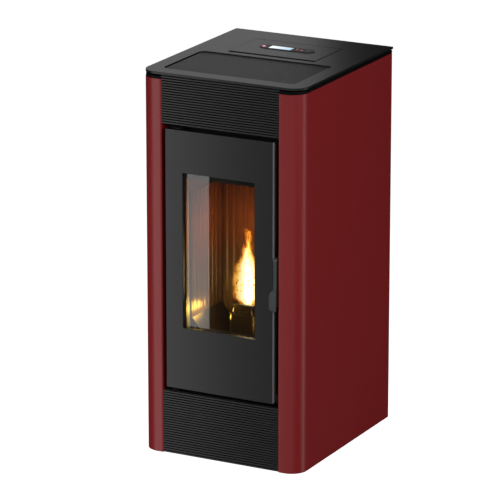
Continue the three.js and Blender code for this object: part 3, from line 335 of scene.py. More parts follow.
# The same black, made much darker and duller for the gaps: the dark colour is painted shade.
gap_shade_black = grainy("gap_shade_black", "#050505", "#080808", grain=0.9, bump=0.2, roughness=0.6,
                          Specular_IOR_Level=0.12)

# %% Metals and the rest
# Sand-cast iron under thin black paint: coarse bumps about 1 mm across, worn shiny by sweeping.
cast_iron = grainy("cast_iron", "#141110", "#1d1815", grain=1.1, bump=0.25, roughness=0.42, metallic=0.3)
# The pot and its support are swept every day: the same iron, rubbed smooth, so it mirrors the glow.
swept_iron = grainy("swept_iron", "#3c3733", "#48413b", grain=1.1, bump=0.12, roughness=0.3, metallic=0.8)
# The lever is the same iron, a lighter grey than the paint round it.
lever_iron = grainy("lever_iron", "#4a4c4c", "#585a5a", grain=0.8, bump=0.15, roughness=0.38, metallic=0.45)
# The right side face of the door plate, painted light grey: a painted highlight along that edge.
painted_highlight_edge = grainy("painted_highlight_edge", "#b2b8ba", "#c0c6c8", grain=0.6, bump=0.1, roughness=0.4, metallic=0.3)
# Fluted fireproof liner: brown enamel with a film of soot. Its gloss draws each flute as a bright line.
fluted_liner = grainy("fluted_liner", "#4a4038", "#5a4c40", grain=1.6, bump=0.15, roughness=0.3,
                      metallic=0.35)
# Paint on the frame behind the glass, greenish where it is seen through 4 mm of glass ceramic.
frame_paint = grainy("frame_paint", "#68726e", "#707a76", grain=0.7, bump=0.1, roughness=0.5)
# Zinc dip on sheet steel leaves flakes about 9 mm across.
galvanised = grainy("galvanised_sheet", "#83888a", "#9aa0a2", grain=9, bump=0.05, roughness=0.42,
                    metallic=0.85)
# Cold-rolled steel, bare and slightly dull.
bare_steel = grainy("bare_steel", "#77746f", "#8b8883", grain=0.5, bump=0.1, roughness=0.38, metallic=0.95)
# Glass-fibre rope: soft grey yarn that scatters all light.
glass_rope = grainy("glass_rope", "#77746c", "#9a968c", grain=1.5, bump=0.9, roughness=0.95)
# Pressed vermiculite board: a matt, sandy board with 2 mm flakes.
vermiculite = grainy("vermiculite_board", "#8e7a56", "#b39a70", grain=2.2, bump=0.6, roughness=0.95)
# Injection-moulded black plastic with a fine spark-eroded grain.
black_plastic = grainy("black_plastic", "#0a0a0b", "#0e0e10", grain=0.5, bump=0.1, roughness=0.42,
                       Specular_IOR_Level=0.2)
# Silicone-rubber keys, pinkish under a print of red.
button_rubber = grainy("button_rubber", "#c0606a", "#cf7a80", grain=0.6, bump=0.1, roughness=0.45)
# The menu key is hard plastic, a little lighter than the panel.
menu_plastic = grainy("menu_plastic", "#3a3a3c", "#46464a", grain=0.6, bump=0.1, roughness=0.4)

FINISHES = {
    "red_paint": red_powder_coat, "black_paint": black_stove_paint, "grey_paint": grey_stove_paint,
    "cast_iron": cast_iron, "galvanised": galvanised, "bare_steel": bare_steel, "glass_rope": glass_rope,
    "vermiculite": vermiculite, "black_plastic": black_plastic, "button_rubber": button_rubber,
    "menu_plastic": menu_plastic,
}

# %% Glass and the lit display
def clear_glass():
    """Glass ceramic, 4 mm thick: clear and faintly warm. Its heat-reflecting film mirrors more than glass."""
    material, tree, place = new_material("glass_ceramic")
    film = add(tree, "TexNoise", {"Vector": place, "Scale": 1000 / 120, "Detail": 2.0})
    gloss = add(tree, "MapRange", {"Value": film.outputs["Fac"], "To Min": 0.0, "To Max": 0.02})
    surface = add(tree, "BsdfPrincipled", {
        "Base Color": srgb("#fbf3ea"), "Roughness": gloss.outputs["Result"], "IOR": 1.7,
        "Transmission Weight": 1.0})
    add(tree, "OutputMaterial", {"Surface": surface.outputs["BSDF"]})
    return material


def lit_display():
    """A back-lit window: pale blue, brighter towards one end."""
    material, tree, place = new_material("lit_display")
    parts = add(tree, "SeparateXYZ", {"Vector": place})
    left, right = about(DISPLAY["x"], DISPLAY["length"] / 2)
    along = add(tree, "MapRange", {"Value": parts.outputs["X"], "From Min": left * MM,
                                   "From Max": right * MM})
    glow = add(tree, "MixRGB", {0: along.outputs["Result"], 1: srgb("#f6fafc"), 2: srgb("#9cc2de")})
    surface = add(tree, "BsdfPrincipled", {
        "Base Color": srgb("#101418"), "Roughness": 0.15, "Emission Color": glow.outputs["Color"],
        "Emission Strength": 1.0})
    add(tree, "OutputMaterial", {"Surface": surface.outputs["BSDF"]})
    return material


def key_with_painted_glow(name, x, y, radius, middle, ring, glow):
    """A key whose print is one colour in the middle and another towards the rim, with a glow that is painted
    light: the key holds no lamp.
    """
    material, tree, place = new_material(name)
    centre = (x * MM, y * MM, panel_top * MM)
    away = add(tree, "VectorMath", {0: place, 1: centre}, operation="DISTANCE").outputs["Value"]
    step = add(tree, "MapRange", {"Value": away, "From Min": radius * 0.4 * MM,
                                  "From Max": radius * 0.75 * MM})
    skin = add(tree, "TexNoise", {"Vector": place, "Scale": 1000 / 0.6})
    tint = add(tree, "MixRGB", {0: step.outputs["Result"], 1: srgb(middle), 2: srgb(ring)})
    bumps = add(tree, "Bump", {"Height": skin.outputs["Fac"], "Strength": 0.1, "Distance": 0.2 * MM})
    surface = add(tree, "BsdfPrincipled", {
        "Base Color": tint.outputs["Color"], "Roughness": 0.45, "Normal": bumps.outputs["Normal"],
        "Emission Color": tint.outputs["Color"], "Emission Strength": glow})
    add(tree, "OutputMaterial", {"Surface": surface.outputs["BSDF"]})
    return material


display_glow = lit_display()
FINISHES["ceramic_glass"] = clear_glass()
FINISHES["lcd"] = display_glow
print("Finishes for", len(FINISHES), "slots of the record")

# %% [markdown]
# ## CAD nodes that stay
# Most of the pieces inside the casing have their right shape already. Each gets the finish of its slot in the
# record; the pieces that are seen up close are modelled again further down.

# %% Dress the CAD nodes
slot_of = {part["node"]: part["material_slot"] for part in frame["record"]["subparts"]}
special = {"left_liner": fluted_liner, "right_liner": fluted_liner, "back_liner": fluted_liner,
           "door_inner_frame": frame_paint}
for name, node in nodes.items():
    node.data.materials.clear()
    node.data.materials.append(special.get(name, FINISHES[slot_of[name]]))
print("Dressed:", len(slot_of), "nodes")

# %% [markdown]
# ## Side panels
# Each side is one sheet of 2 mm steel: a hem at the back, the long side, a wide round corner, a narrow strip
# beside the door, and a return into the front bay. A brake press folds it strip by strip, and so does this: a
# plane is the first strip, each further strip is extruded from its last edge, the corner is rounded, and the
# sheet gets its thickness last, towards the inside.

# %% Fold a sheet
def fold_sheet(name, points, z, thickness, bends):
    """Folds a sheet along x, y points. bends gives the radius and segments at each inner point."""
    a, b = Vector(points[0]), Vector(points[1])
    angle = math.atan2((b - a).y, (b - a).x)
    middle = (*((a + b) / 2), sum(z) / 2)
    piece = add_plane(name, middle, (b - a).length, z[1] - z[0], (math.pi / 2, 0, angle))
    pick_edges(piece, lambda at, along: upright(at, along) and (at.xy - b).length < 0.01)
    for start, end in zip(points[1:], points[2:]):
        step = (*((Vector(end) - Vector(start)) * MM), 0)
        bpy.ops.mesh.extrude_region_move(TRANSFORM_OT_translate={"value": step})
    close_edit()
    for corner, (radius, segments) in bends.items():
        spot = Vector(points[corner])
        round_edges(piece, radius, segments,
                    lambda at, along: upright(at, along) and (at.xy - spot).length < 0.01)
    return apply_modifier(piece, "SOLIDIFY", thickness=thickness * MM, offset=-1, use_even_offset=True)


# %% Right and left side panel
side_path = [
    (CASING["half"] - HEM, CASING["back"]),
    (CASING["half"], CASING["back"]),
    (CASING["half"], CASING["front"]),
    (BAY["half"], CASING["front"]),
    (BAY["half"], CASING["front"] + BAY["depth"]),
]
side_bends = {3: (2.5, 4), 2: (CASING["corner"], 20), 1: (3, 4)}
side_height = (CASING["bottom"], CASING["top"])
right_side = fold_sheet("right_side_sheet", side_path, side_height, CASING["sheet"], side_bends)
soften(right_side, 0.35, 1, 50)
left_side = soften(mirror(right_side, "left_side_sheet"), 0)
mount(right_side, red_powder_coat, "stove", "red_paint", "side_panel_right")
mount(left_side, red_powder_coat, "stove", "red_paint", "side_panel_left")
print("Right side reaches", round(max(v.co.x for v in right_side.data.vertices) / MM, 1), "mm")

# %% [markdown]
# ## Top deck and top plate
# The deck closes the casing like an upside-down tray, and shows only as a thin black rim. The grey plate
# floats on small spacers 3 mm above it, with one opening for the grille and one for the lid. Both start as
# blocks: two front corners are rounded first, then the openings are cut, and last the sharp edges are
# softened so they catch light.

# %% Deck
def cover(name, half, front, back, z, corner, segments=16):
    """A slab that is square at the back and rounded at its two front corners."""
    piece = add_block(name, about(0, half), (front, back), z)
    return round_corners(piece, corner, segments, lambda at, along: upright(at, along) and at.y < 0)


rim = CASING["half"] + DECK["proud"]
rim_front, rim_back = CASING["front"] - DECK["proud"], CASING["back"] + DECK["proud"]
rim_corner = CASING["corner"] + DECK["proud"]
flange = DECK["flange"]
deck = cover("black_deck", rim, rim_front, rim_back, (DECK["bottom"], DECK["top"]), rim_corner)
deck_inside = cover("deck_inside", rim - flange, rim_front + flange, rim_back - flange,
                    (DECK["bottom"] - OVER, DECK["top"] - DECK["sheet"]), rim_corner - flange)
THROUGH_DECK = (990, 1020)
notch_back = CASING["front"] + LOUVRE["depth"] + GAP
louvre_notch = add_block("louvre_notch", about(0, BAY["half"] + GAP / 2), (rim_front - OVER, notch_back),
                         THROUGH_DECK)
grille_hole = add_block("grille_hole", about(0, GRILLE["half"] - GRILLE["margin"]),
                        (GRILLE["front"] + GRILLE["margin"], GRILLE["back"] - GRILLE["margin"]), THROUGH_DECK)
hopper_hole = add_block("hopper_hole", about(0, HOPPER_MOUTH["half"]),
                        (HOPPER_MOUTH["front"], HOPPER_MOUTH["back"]), THROUGH_DECK)
cut(deck, deck_inside)
front_wall = add_block("front_wall", about(0, BAY["half"] + flange), (notch_back, notch_back + flange),
                       (DECK["bottom"], DECK["top"] - 0.1))
cut(deck, louvre_notch, grille_hole, hopper_hole)
spacers = [
    add_rod("spacer", (x, y, DECK["top"] - 1), (x, y, PLATE["bottom"] - GAP), SPACER["radius"], 24)
    for x in (-SPACER["x"], SPACER["x"]) for y in (SPACER["front"], SPACER["back"])
]
soften(deck, 0.5, 2)
weld(deck, front_wall, *spacers)
# The deck gets the darker gap black: painted shade in the band under the plate.
mount(deck, gap_shade_black, "stove", "black_paint", "top_deck")

# %% Plate
THROUGH_TOP = (1000, 1030)
plate = cover("grey_top_plate", PLATE["half"], PLATE["front"], PLATE["back"], (PLATE["bottom"], PLATE["top"]),
              PLATE["corner"], 20)
grille_opening = add_block("grille_opening", about(0, GRILLE["half"]), (GRILLE["front"], GRILLE["back"]),
                           THROUGH_TOP)
round_corners(grille_opening, GRILLE["corner"], 10)
# The opening reaches 10.5 mm in front of the lid, wider than the real finger gap, so the darker deck below
# shows as a dark line: painted shade.
lid_opening = add_block("lid_opening", about(0, LID["half"] + 0.6),
                        (LID["front"] - FINGER_GAP, LID["axis_y"] + LID["barrel"] + GAP), THROUGH_TOP)
cut(plate, grille_opening, lid_opening)
soften(plate, 0.9, 3)
mount(plate, grey_stove_paint, "stove", "grey_paint", "top_plate")
print("Top plate:", 2 * PLATE["half"], "by", round(PLATE["back"] - PLATE["front"], 1), "mm")

# %% Painted shade strips
# A black strip fills the gap along both sides and the joint of deck and side sheet: painted shade, which also
# keeps the white room from showing through.
SHADE_STRIP = {"x": (219, 223), "y": (-200, 258), "joint_x": (222.4, 224.4), "joint_z": (994, 1005)}
shade_strip = add_block("painted_shade_strip", SHADE_STRIP["x"], SHADE_STRIP["y"], (DECK["top"], PLATE["bottom"]))
weld(shade_strip, add_block("painted_shade_joint", SHADE_STRIP["joint_x"], SHADE_STRIP["y"], SHADE_STRIP["joint_z"]))
weld(shade_strip, mirror(shade_strip, "left_painted_shade_strip"))
soften(shade_strip, 0)
mount(shade_strip, gap_shade_black, "stove", "black_paint")

# %% [markdown]
# ## Perforated grille
# Warm room air leaves through a pressed tray with rows of small punched holes. One cell of the pattern is a
# plane whose middle face is inset, squeezed to a slot and deleted. Two Array modifiers repeat the cell in
# columns and rows, Solidify gives the sheet, and a rounded rim goes round it.

# %% One punched cell, repeated
HOLE = {"columns": 60, "rows": 33, "width": 3.3, "length": 5.0}
grille_x = about(0, GRILLE["half"] - GAP)
grille_y = (GRILLE["front"] + GAP, GRILLE["back"] - GAP)
grille_top = PLATE["top"] - GRILLE["sunk"]
margin = GRILLE["margin"]
pitch_x = (grille_x[1] - grille_x[0] - 2 * margin) / HOLE["columns"]
pitch_y = (grille_y[1] - grille_y[0] - 2 * margin) / HOLE["rows"]
first = (grille_x[0] + margin + pitch_x / 2, grille_y[0] + margin + pitch_y / 2, grille_top)
mesh_field = add_plane("punched_field", first, pitch_x, pitch_y)
pick_faces(mesh_field, lambda at, normal: True)
bpy.ops.mesh.inset(thickness=(pitch_y - HOLE["length"]) / 2 * MM)
squeeze = HOLE["width"] / (pitch_x - pitch_y + HOLE["length"])
bpy.ops.transform.resize(value=(squeeze, 1, 1), center_override=[value * MM for value in first])
bpy.ops.mesh.delete(type="FACE")
close_edit()
for count, step in ((HOLE["columns"], (pitch_x, 0, 0)), (HOLE["rows"], (0, pitch_y, 0))):
    repeat(mesh_field, count, step, use_merge_vertices=True, merge_threshold=0.01 * MM)
apply_modifier(mesh_field, "SOLIDIFY", thickness=GRILLE["sheet"] * MM, offset=-1)
tray_rim = add_block("tray_rim", grille_x, grille_y, (DECK["top"] + GAP, grille_top))
round_corners(tray_rim, GRILLE["corner"] - GAP, 10)
rim_inside = add_block("rim_inside", (grille_x[0] + margin, grille_x[1] - margin),
                       (grille_y[0] + margin, grille_y[1] - margin), THROUGH_TOP)
RIM_WALL = 2
under_rim = add_block("under_rim", (grille_x[0] + RIM_WALL, grille_x[1] - RIM_WALL),
                      (grille_y[0] + RIM_WALL, grille_y[1] - RIM_WALL),
                      (THROUGH_TOP[0], grille_top - GRILLE["sheet"]))
round_corners(under_rim, GRILLE["corner"] - GAP - RIM_WALL, 10)
cut(tray_rim, rim_inside, under_rim)
soften(tray_rim, 0.4, 1)
grille_piece = weld(tray_rim, mesh_field)
grille_piece.name = grille_piece.data.name = "perforated_grille"
mount(grille_piece, grille_paint, "stove", "black_paint", "top_grille")
print("Grille holes:", HOLE["columns"] * HOLE["rows"])

# %% [markdown]
# ## Hopper lid and control panel
# The lid is a plate that turns on a rod along its back edge, so that edge is a round barrel. The control
# panel is an oblong plate set into it, with a window and four round keys.

# %% Lid
lid = add_block("hopper_lid_plate", about(0, LID["half"]), (LID["front"], LID["axis_y"]),
                (lid_top - LID["thick"], lid_top))
panel_hole = add_block("panel_hole", about(PANEL["x"], PANEL["half"] - PANEL["lip"] + GAP),
                       about(PANEL["y"], PANEL["radius"] - PANEL["lip"] + GAP), THROUGH_TOP)
round_corners(panel_hole, PANEL["radius"] - PANEL["lip"], 10)
cut(lid, panel_hole)
soften(lid, 0.8, 3)
barrel = add_rod("lid_barrel", (-LID["half"], LID["axis_y"], LID["axis_z"]),
                 (LID["half"], LID["axis_y"], LID["axis_z"]), LID["barrel"], 24)
soften(barrel, 0.4, 1)
weld(lid, barrel)
mount(lid, grey_stove_paint, "lid", "grey_paint", "hopper_lid")

# %% Panel body
KEYS = {
    "power": (-66, 107, 6.5, "power_key", "button_rubber"),
    "up": (28, 113, 4.5, "up_key", "button_rubber"),
    "down": (43, 107, 4.5, "down_key", "button_rubber"),
    "menu": (61, 111, 6.5, "menu_key", "menu_plastic"),
}
# Middle colour, rim colour and glow of each key; the glow is painted light.
KEY_PRINT_AND_PAINTED_GLOW = {
    "power": ("#ffe6ee", "#b04a58", 0.8),
    "up": ("#e8b0b4", "#a8404a", 0.35),
    "down": ("#e8b0b4", "#a8404a", 0.35),
    "menu": ("#3a3c40", "#6a6c70", 0.05),
}
bezel = add_block("panel_bezel", about(PANEL["x"], PANEL["half"]), about(PANEL["y"], PANEL["radius"]),
                  (lid_top + GAP, panel_top))
round_corners(bezel, PANEL["radius"] - 0.01, 14)
screen_x = about(DISPLAY["x"], DISPLAY["length"] / 2 + GAP)
screen_y = about(PANEL["y"], DISPLAY["width"] / 2 + GAP)
screen_pocket = add_block("screen_pocket", screen_x, screen_y, THROUGH_TOP)
wells = [add_rod("well", (x, y, THROUGH_TOP[0]), (x, y, THROUGH_TOP[1]), radius + GAP)
         for x, y, radius, *rest in KEYS.values()]
cut(bezel, screen_pocket, *wells)
soften(bezel, 0.3, 2)
panel_box = add_block("control_panel_body", about(PANEL["x"], PANEL["half"] - PANEL["lip"]),
                      about(PANEL["y"], PANEL["radius"] - PANEL["lip"]),
                      (panel_top - PANEL["depth"], lid_top + 1.5 * GAP))
round_corners(panel_box, PANEL["radius"] - PANEL["lip"] - 0.01, 10)
display_floor = add_block("display_floor", screen_x, screen_y, (lid_top - DISPLAY["depth"], THROUGH_TOP[1]))
well_floors = [add_rod("well_floor", (x, y, panel_top - KEY["well"]), (x, y, THROUGH_TOP[1]), radius + GAP)
               for x, y, radius, *rest in KEYS.values()]
cut(panel_box, display_floor, *well_floors)
weld(panel_box, bezel)
mount(panel_box, black_plastic, "lid", "black_plastic", "control_panel")

# %% Display and keys
display = add_block("display_lens", about(DISPLAY["x"], DISPLAY["length"] / 2),
                    about(PANEL["y"], DISPLAY["width"] / 2),
                    (lid_top - DISPLAY["depth"] + GAP, panel_top + DISPLAY["rise"]))
soften(display, 0.3, 2)
mount(display, display_glow, "lid", "lcd", "display_window")
key_top = panel_top + KEY["rise"]
for key, (x, y, radius, body, slot) in KEYS.items():
    cap = add_rod(key + "_key_cap", (x, y, key_top - KEY["height"]), (x, y, key_top), radius)
    round_edges(cap, KEY["rounding"], 4, lambda at, along: at.z > key_top - 0.1)
    soften(cap, 0)
    middle, ring, glow = KEY_PRINT_AND_PAINTED_GLOW[key]
    mount(cap, key_with_painted_glow(key + "_key_print_painted_glow", x, y, radius, middle, ring, glow), body, slot, key + "_button")
print("Keys:", len(KEYS))

# %% [markdown]
# ## Louvred front strips
# The strips above and below the door are ribbed: each rib sticks out 4 mm, with a rounded nose and a
# sloping top. One rib is a block whose upper back edge is pulled up and whose nose is rounded. An Array
# modifier repeats it, and a backing sheet with two flanges joins them.

# %% Ribs and backing
# Heights are parts of the pitch, the nose's radius and the bite into the backing are in mm.
RIB = {"low": 0.12, "high": 0.66, "rise": 0.3, "drop": 0.1, "nose": 1.1, "bite": 0.5}


def louvre(name, bottom, top, count):
    """A strip of ribs from one height to another."""
    front = CASING["front"]
    pitch = (top - bottom) / count
    x = about(0, LOUVRE["half"])
    ribs = add_block(name, x, (front, front + LOUVRE["groove"] + RIB["bite"]),
                     (bottom + RIB["low"] * pitch, bottom + RIB["high"] * pitch))
    edit(ribs, "VERT")
    rib_mesh = bmesh.from_edit_mesh(ribs.data)
    for vert in rib_mesh.verts:
        if vert.co.y / MM > front + 1:
            vert.co.z += (RIB["rise"] if vert.co.z / MM > bottom + 0.4 * pitch else -RIB["drop"]) * pitch * MM
    bmesh.update_edit_mesh(ribs.data)
    close_edit()
    round_edges(ribs, RIB["nose"], 3, lambda at, along: abs(along.x) > 0.99 and at.y < front + 0.1)
    repeat(ribs, count, (0, 0, pitch))
    back = add_block("backing", x, (front + LOUVRE["groove"], front + LOUVRE["depth"]), (bottom, top))
    flanges = [add_block("flange", x, (front + LOUVRE["depth"] - 0.2, LOUVRE["flange_back"]), z)
               for z in ((bottom, bottom + LOUVRE["flange"]), (top - LOUVRE["flange"], top))]
    weld(ribs, back, *flanges)
    return soften(ribs, 0, degrees=40)


for place, bottom, top, count in (("upper", 884.5, 1010, 19), ("lower", 3, 174, 26)):
    strip = louvre(f"ribbed_{place}_strip", bottom, top, count)
    mount(strip, black_stove_paint, "stove", "black_paint", place + "_louvre")
    print("The", place, "strip has", count, "ribs")

# %% [markdown]
# ## Door
# The door is a flat 12 mm plate with a tall window. Its edges are only slightly rounded, and that thin round
# catches the light along the top edge; along the right edge the light grey side face is a painted highlight.
# Two blind holes at the left take the hinge pins.

# %% Door plate
door = add_block("door_plate", (DOOR["left"], DOOR["right"]), (DOOR["front"], DOOR["back"]),
                 (DOOR["bottom"], DOOR["top"]))
window = add_block("window", (PANE["left"], PANE["right"]), (DOOR["front"] - OVER, DOOR["back"] + OVER),
                   (PANE["bottom"], PANE["top"]))
pin_holes = [add_rod("pin_hole", (HINGE["x"], HINGE["y"], a), (HINGE["x"], HINGE["y"], b), HINGE["pin"] + GAP)
             for a, b in ((DOOR["top"] - HINGE["bite"] - 1, DOOR["top"] + OVER),
                          (DOOR["bottom"] - OVER, DOOR["bottom"] + HINGE["bite"] + 1))]
cut(door, window, *pin_holes)
soften(door, 0.9, 3)
mount(door, black_stove_paint, "door", "black_paint", "door_panel")
# The right side face gets the light grey finish: a painted highlight.
door.data.materials.append(painted_highlight_edge)
for face in door.data.polygons:
    if face.normal.x > 0.9 and face.center.x / MM > DOOR["right"] - 1:
        face.material_index = 1
print("Door:", round(DOOR["right"] - DOOR["left"], 1), "by", DOOR["top"] - DOOR["bottom"], "mm")

# %% Handle, hinges, pot and its support
# These have their shape in the CAD model already, so a merged copy only gets its edges rounded.
# The hinge tabs get the darker gap black too: painted shade in the gap beside the door.
for node, name, width, material, body, slot in (
    ("door_handle", "lever_handle", 0.8, lever_iron, "handle", "cast_iron"),
    ("upper_hinge_bracket", "upper_hinge_tab", 0.5, gap_shade_black, "stove", "bare_steel"),
    ("lower_hinge_bracket", "lower_hinge_tab", 0.5, gap_shade_black, "stove", "bare_steel"),
    ("burn_pot", "cast_burn_pot", 0.4, swept_iron, "pot", "cast_iron"),
    ("pot_support", "cast_pot_support", 0.8, swept_iron, "stove", "cast_iron"),
):
    piece = soften(copy_of(node, name), width, 2, 30)
    mount(piece, material, body, slot, node)

# %% [markdown]
# ## Rear screws
# Ten pan-head screws hold the back sheet. One head is a short rod with a rounded rim and a slot sawn across
# it. An Array modifier repeats it up the right edge, and its mirror image makes the left row.

# %% Rear screws
REAR = {"x": 200, "y": 234.4, "low": 60, "pitch": 218, "rows": 5}
SCREW = {"radius": 4.5, "height": 2.6, "rounding": 1.4, "slot": 1.1}
screws = add_rod("rear_panel_screws", (REAR["x"], REAR["y"], REAR["low"]),
                 (REAR["x"], REAR["y"] + SCREW["height"], REAR["low"]), SCREW["radius"], 24)
round_edges(screws, SCREW["rounding"], 4, lambda at, along: at.y > REAR["y"] + SCREW["height"] - 0.1)
cut(screws, add_block("driver_slot", about(REAR["x"], SCREW["radius"] + 1),
                      (REAR["y"] + SCREW["rounding"], REAR["y"] + SCREW["height"] + 1),
                      about(REAR["low"], SCREW["slot"] / 2)))
repeat(screws, REAR["rows"], (0, 0, REAR["pitch"]))
weld(screws, mirror(screws, "left_screws"))
soften(screws, 0)
mount(screws, bare_steel, "stove", "bare_steel")
print("Rear screws:", 2 * REAR["rows"])

# %% [markdown]
# ## Fire
# A flame is gas that glows, so it has no surface of its own. Three thin sheets cross in the middle of the
# burn pot, each waved a little. A material draws the same flame on each: clear outside its outline, orange
# along it, almost white inside. The outline is two curves over the height, shaken by noise the size of a
# lick of flame.

# %% Flame material
FLAME = {"low": 370, "high": 600, "width": 120, "wave": 4, "bends": 9}
LEFT_EDGE = [(0, 0.32), (0.085, 0.27), (0.12, 0.165), (0.3, 0.142), (0.43, 0.17), (0.52, 0.2), (0.61, 0.267),
             (0.7, 0.333), (0.78, 0.417), (0.83, 0.433), (0.9, 0.425), (1, 0.39)]
RIGHT_EDGE = [(0, 0.68), (0.085, 0.73), (0.12, 0.8), (0.2, 0.81), (0.35, 0.79), (0.48, 0.72), (0.57, 0.67),
              (0.7, 0.61), (0.78, 0.592), (0.83, 0.575), (0.9, 0.54), (0.97, 0.42), (1, 0.39)]


def calc(tree, operation, a, b=0.0):
    """One sum on two values or sockets."""
    return add(tree, "Math", {0: a, 1: b}, operation=operation).outputs["Value"]


def curve(tree, value, points):
    """A smooth curve through the points, read at a value from 0 to 1."""
    node = add(tree, "FloatCurve", {"Value": value})
    line = node.mapping.curves[0].points
    for at, height in points[1:-1]:
        line.new(at, height)
    line[0].location, line[len(points) - 1].location = points[0], points[-1]
    node.mapping.update()
    return node.outputs["Value"]


def burning_gas():
    """Fire on a sheet whose UV map runs from 0 to 1 across and up."""
    material, tree, place = new_material("burning_gas")
    parts = add(tree, "SeparateXYZ", {"Vector": add(tree, "UVMap").outputs["UV"]})
    across, height = parts.outputs["X"], parts.outputs["Y"]
    licks = add(tree, "Mapping", {"Vector": place, "Scale": (1.0, 1.0, 0.45)}).outputs["Vector"]
    shake = add(tree, "TexNoise", {"Vector": licks, "Scale": 1000 / 14, "Detail": 3.0, "Distortion": 0.6})
    reach = add(tree, "MapRange", {"Value": height, "To Min": 0.05, "To Max": 0.3}).outputs["Result"]
    sway = calc(tree, "MULTIPLY", calc(tree, "SUBTRACT", shake.outputs["Fac"], 0.5), reach)
    moved = calc(tree, "ADD", across, sway)
    inside = calc(tree, "MINIMUM", calc(tree, "SUBTRACT", moved, curve(tree, height, LEFT_EDGE)),
                  calc(tree, "SUBTRACT", curve(tree, height, RIGHT_EDGE), moved))
    depth = add(tree, "MapRange", {"Value": inside, "From Max": 0.16}).outputs["Result"]
    holes = add(tree, "TexNoise", {"Vector": place, "Scale": 1000 / 9, "Detail": 2.0})
    spots = add(tree, "MapRange", {"Value": holes.outputs["Fac"], "From Min": 0.56, "From Max": 0.7,
                                   "To Max": 0.6})
    heat = calc(tree, "SUBTRACT", depth, spots.outputs["Result"])
    ramp = add(tree, "ValToRGB", {"Fac": heat})
    stops = [(0.0, "#a83a08"), (0.25, "#ee8a1e"), (0.55, "#ffcf50"), (1.0, "#fff3bc")]
    colours = ramp.color_ramp.elements
    for at, colour in stops[1:-1]:
        colours.new(at)
    for stop, (at, colour) in zip(colours, stops):
        stop.position, stop.color = at, srgb(colour)
    power = add(tree, "MapRange", {"Value": heat, "To Min": 0.4, "To Max": 1.1}).outputs["Result"]
    veil = add(tree, "MapRange", {"Value": inside, "From Max": 0.05}, interpolation_type="SMOOTHSTEP")
    strength = calc(tree, "MULTIPLY", power, veil.outputs["Result"])
    glow = add(tree, "Emission", {"Color": ramp.outputs["Color"], "Strength": strength})
    clear = add(tree, "BsdfTransparent")
    mixed = add(tree, "AddShader", {0: clear.outputs["BSDF"], 1: glow.outputs["Emission"]})
    add(tree, "OutputMaterial", {"Surface": mixed.outputs["Shader"]})
    return material


flame_gas = burning_gas()

# %% Flame sheets
FLAME_TURN = 27.6  # degrees, the first sheet faces the viewer


def flame_sheet(name, degrees):
    """An upright sheet through the middle of the pot, waved like a curtain."""
    turn = math.radians(degrees)
    middle = (FIRE["x"], FIRE["y"], (FLAME["low"] + FLAME["high"]) / 2)
    piece = add_plane(name, middle, FLAME["width"], FLAME["high"] - FLAME["low"], (math.pi / 2, 0, turn))
    edit(piece, "FACE")
    bpy.ops.mesh.select_all(action="SELECT")
    bpy.ops.mesh.subdivide(number_cuts=15)
    close_edit()
    outwards = Vector((math.sin(turn), -math.cos(turn), 0))
    for vert in piece.data.vertices:
        height = (vert.co.z / MM - FLAME["low"]) / (FLAME["high"] - FLAME["low"])
        vert.co += outwards * (FLAME["wave"] * math.sin(height * FLAME["bends"] + degrees) * height * MM)
    soften(piece, 0, degrees=80)
    return mount(piece, flame_gas, "pot", "cast_iron")


for index in range(3):
    flame_sheet(f"flame_sheet_{index + 1}", FLAME_TURN + 60 * index)
print("Flame height:", FLAME["high"] - FLAME["low"], "mm")

# %% [markdown]
# ## Camera
# The stove was photographed from its right front, from a little above, with a long lens far away, which keeps
# upright edges almost parallel. The direction to the stove is kept as a value, because the lamps need it too.

# %% Camera
scene = bpy.context.scene
eye = Vector((4.31242, -8.32802, 3.27744))
aim = Vector((-0.0512, 0.0, 0.49703))
lens = bpy.data.cameras.new("studio_camera")
lens.lens, lens.sensor_width = 270.76, 36
lens.clip_end = 60
camera = bpy.data.objects.new("studio_camera", lens)
camera.location = eye
camera.rotation_euler = (aim - eye).to_track_quat("-Z", "Y").to_euler()
scene.collection.objects.link(camera)
scene.camera = camera
scene.view_settings.view_transform = "Standard"
sight = (aim - eye).normalized()
print("The camera looks along", [round(value, 3) for value in sight])

# %% [markdown]
# ## Room and floor
# The photograph is cut out on white, yet the paint reflects a dim studio. So the room is white where the
# camera sees it and almost dark for the stove, and the floor is pale but stays out of reflections.

# %% Room and floor
world = bpy.data.worlds.new("white_room")
scene.world = world
world.use_nodes = True
room = world.node_tree
room.nodes.clear()
seen = add(room, "Background", {"Color": (1, 1, 1, 1), "Strength": 1.0})
dim = add(room, "Background", {"Color": (1, 1, 1, 1), "Strength": 0.02})
path = add(room, "LightPath")
both = add(room, "MixShader", {0: path.outputs["Is Camera Ray"], 1: dim.outputs["Background"],
                               2: seen.outputs["Background"]})
add(room, "OutputWorld", {"Surface": both.outputs["Shader"]})

FLOOR_WIDTH = 12000
FIBRE = 2.5
floor = add_plane("studio_floor", (0, 0, 0), FLOOR_WIDTH, FLOOR_WIDTH)
paper, paper_tree, paper_place = new_material("white_paper_floor")
fibres = add(paper_tree, "TexNoise", {"Vector": paper_place, "Scale": 1000 / FIBRE})
pale = add(paper_tree, "MixRGB", {0: fibres.outputs["Fac"], 1: srgb("#f2f2f2"), 2: srgb("#ffffff")})
sheet = add(paper_tree, "BsdfPrincipled", {
    "Base Color": pale.outputs["Color"], "Roughness": 0.9, "Specular IOR Level": 0.0,
    "Emission Color": srgb("#ffffff"), "Emission Strength": 1.0})
add(paper_tree, "OutputMaterial", {"Surface": sheet.outputs["BSDF"]})
floor.data.materials.append(paper)
floor.visible_diffuse = floor.visible_glossy = floor.visible_transmission = floor.visible_shadow = False

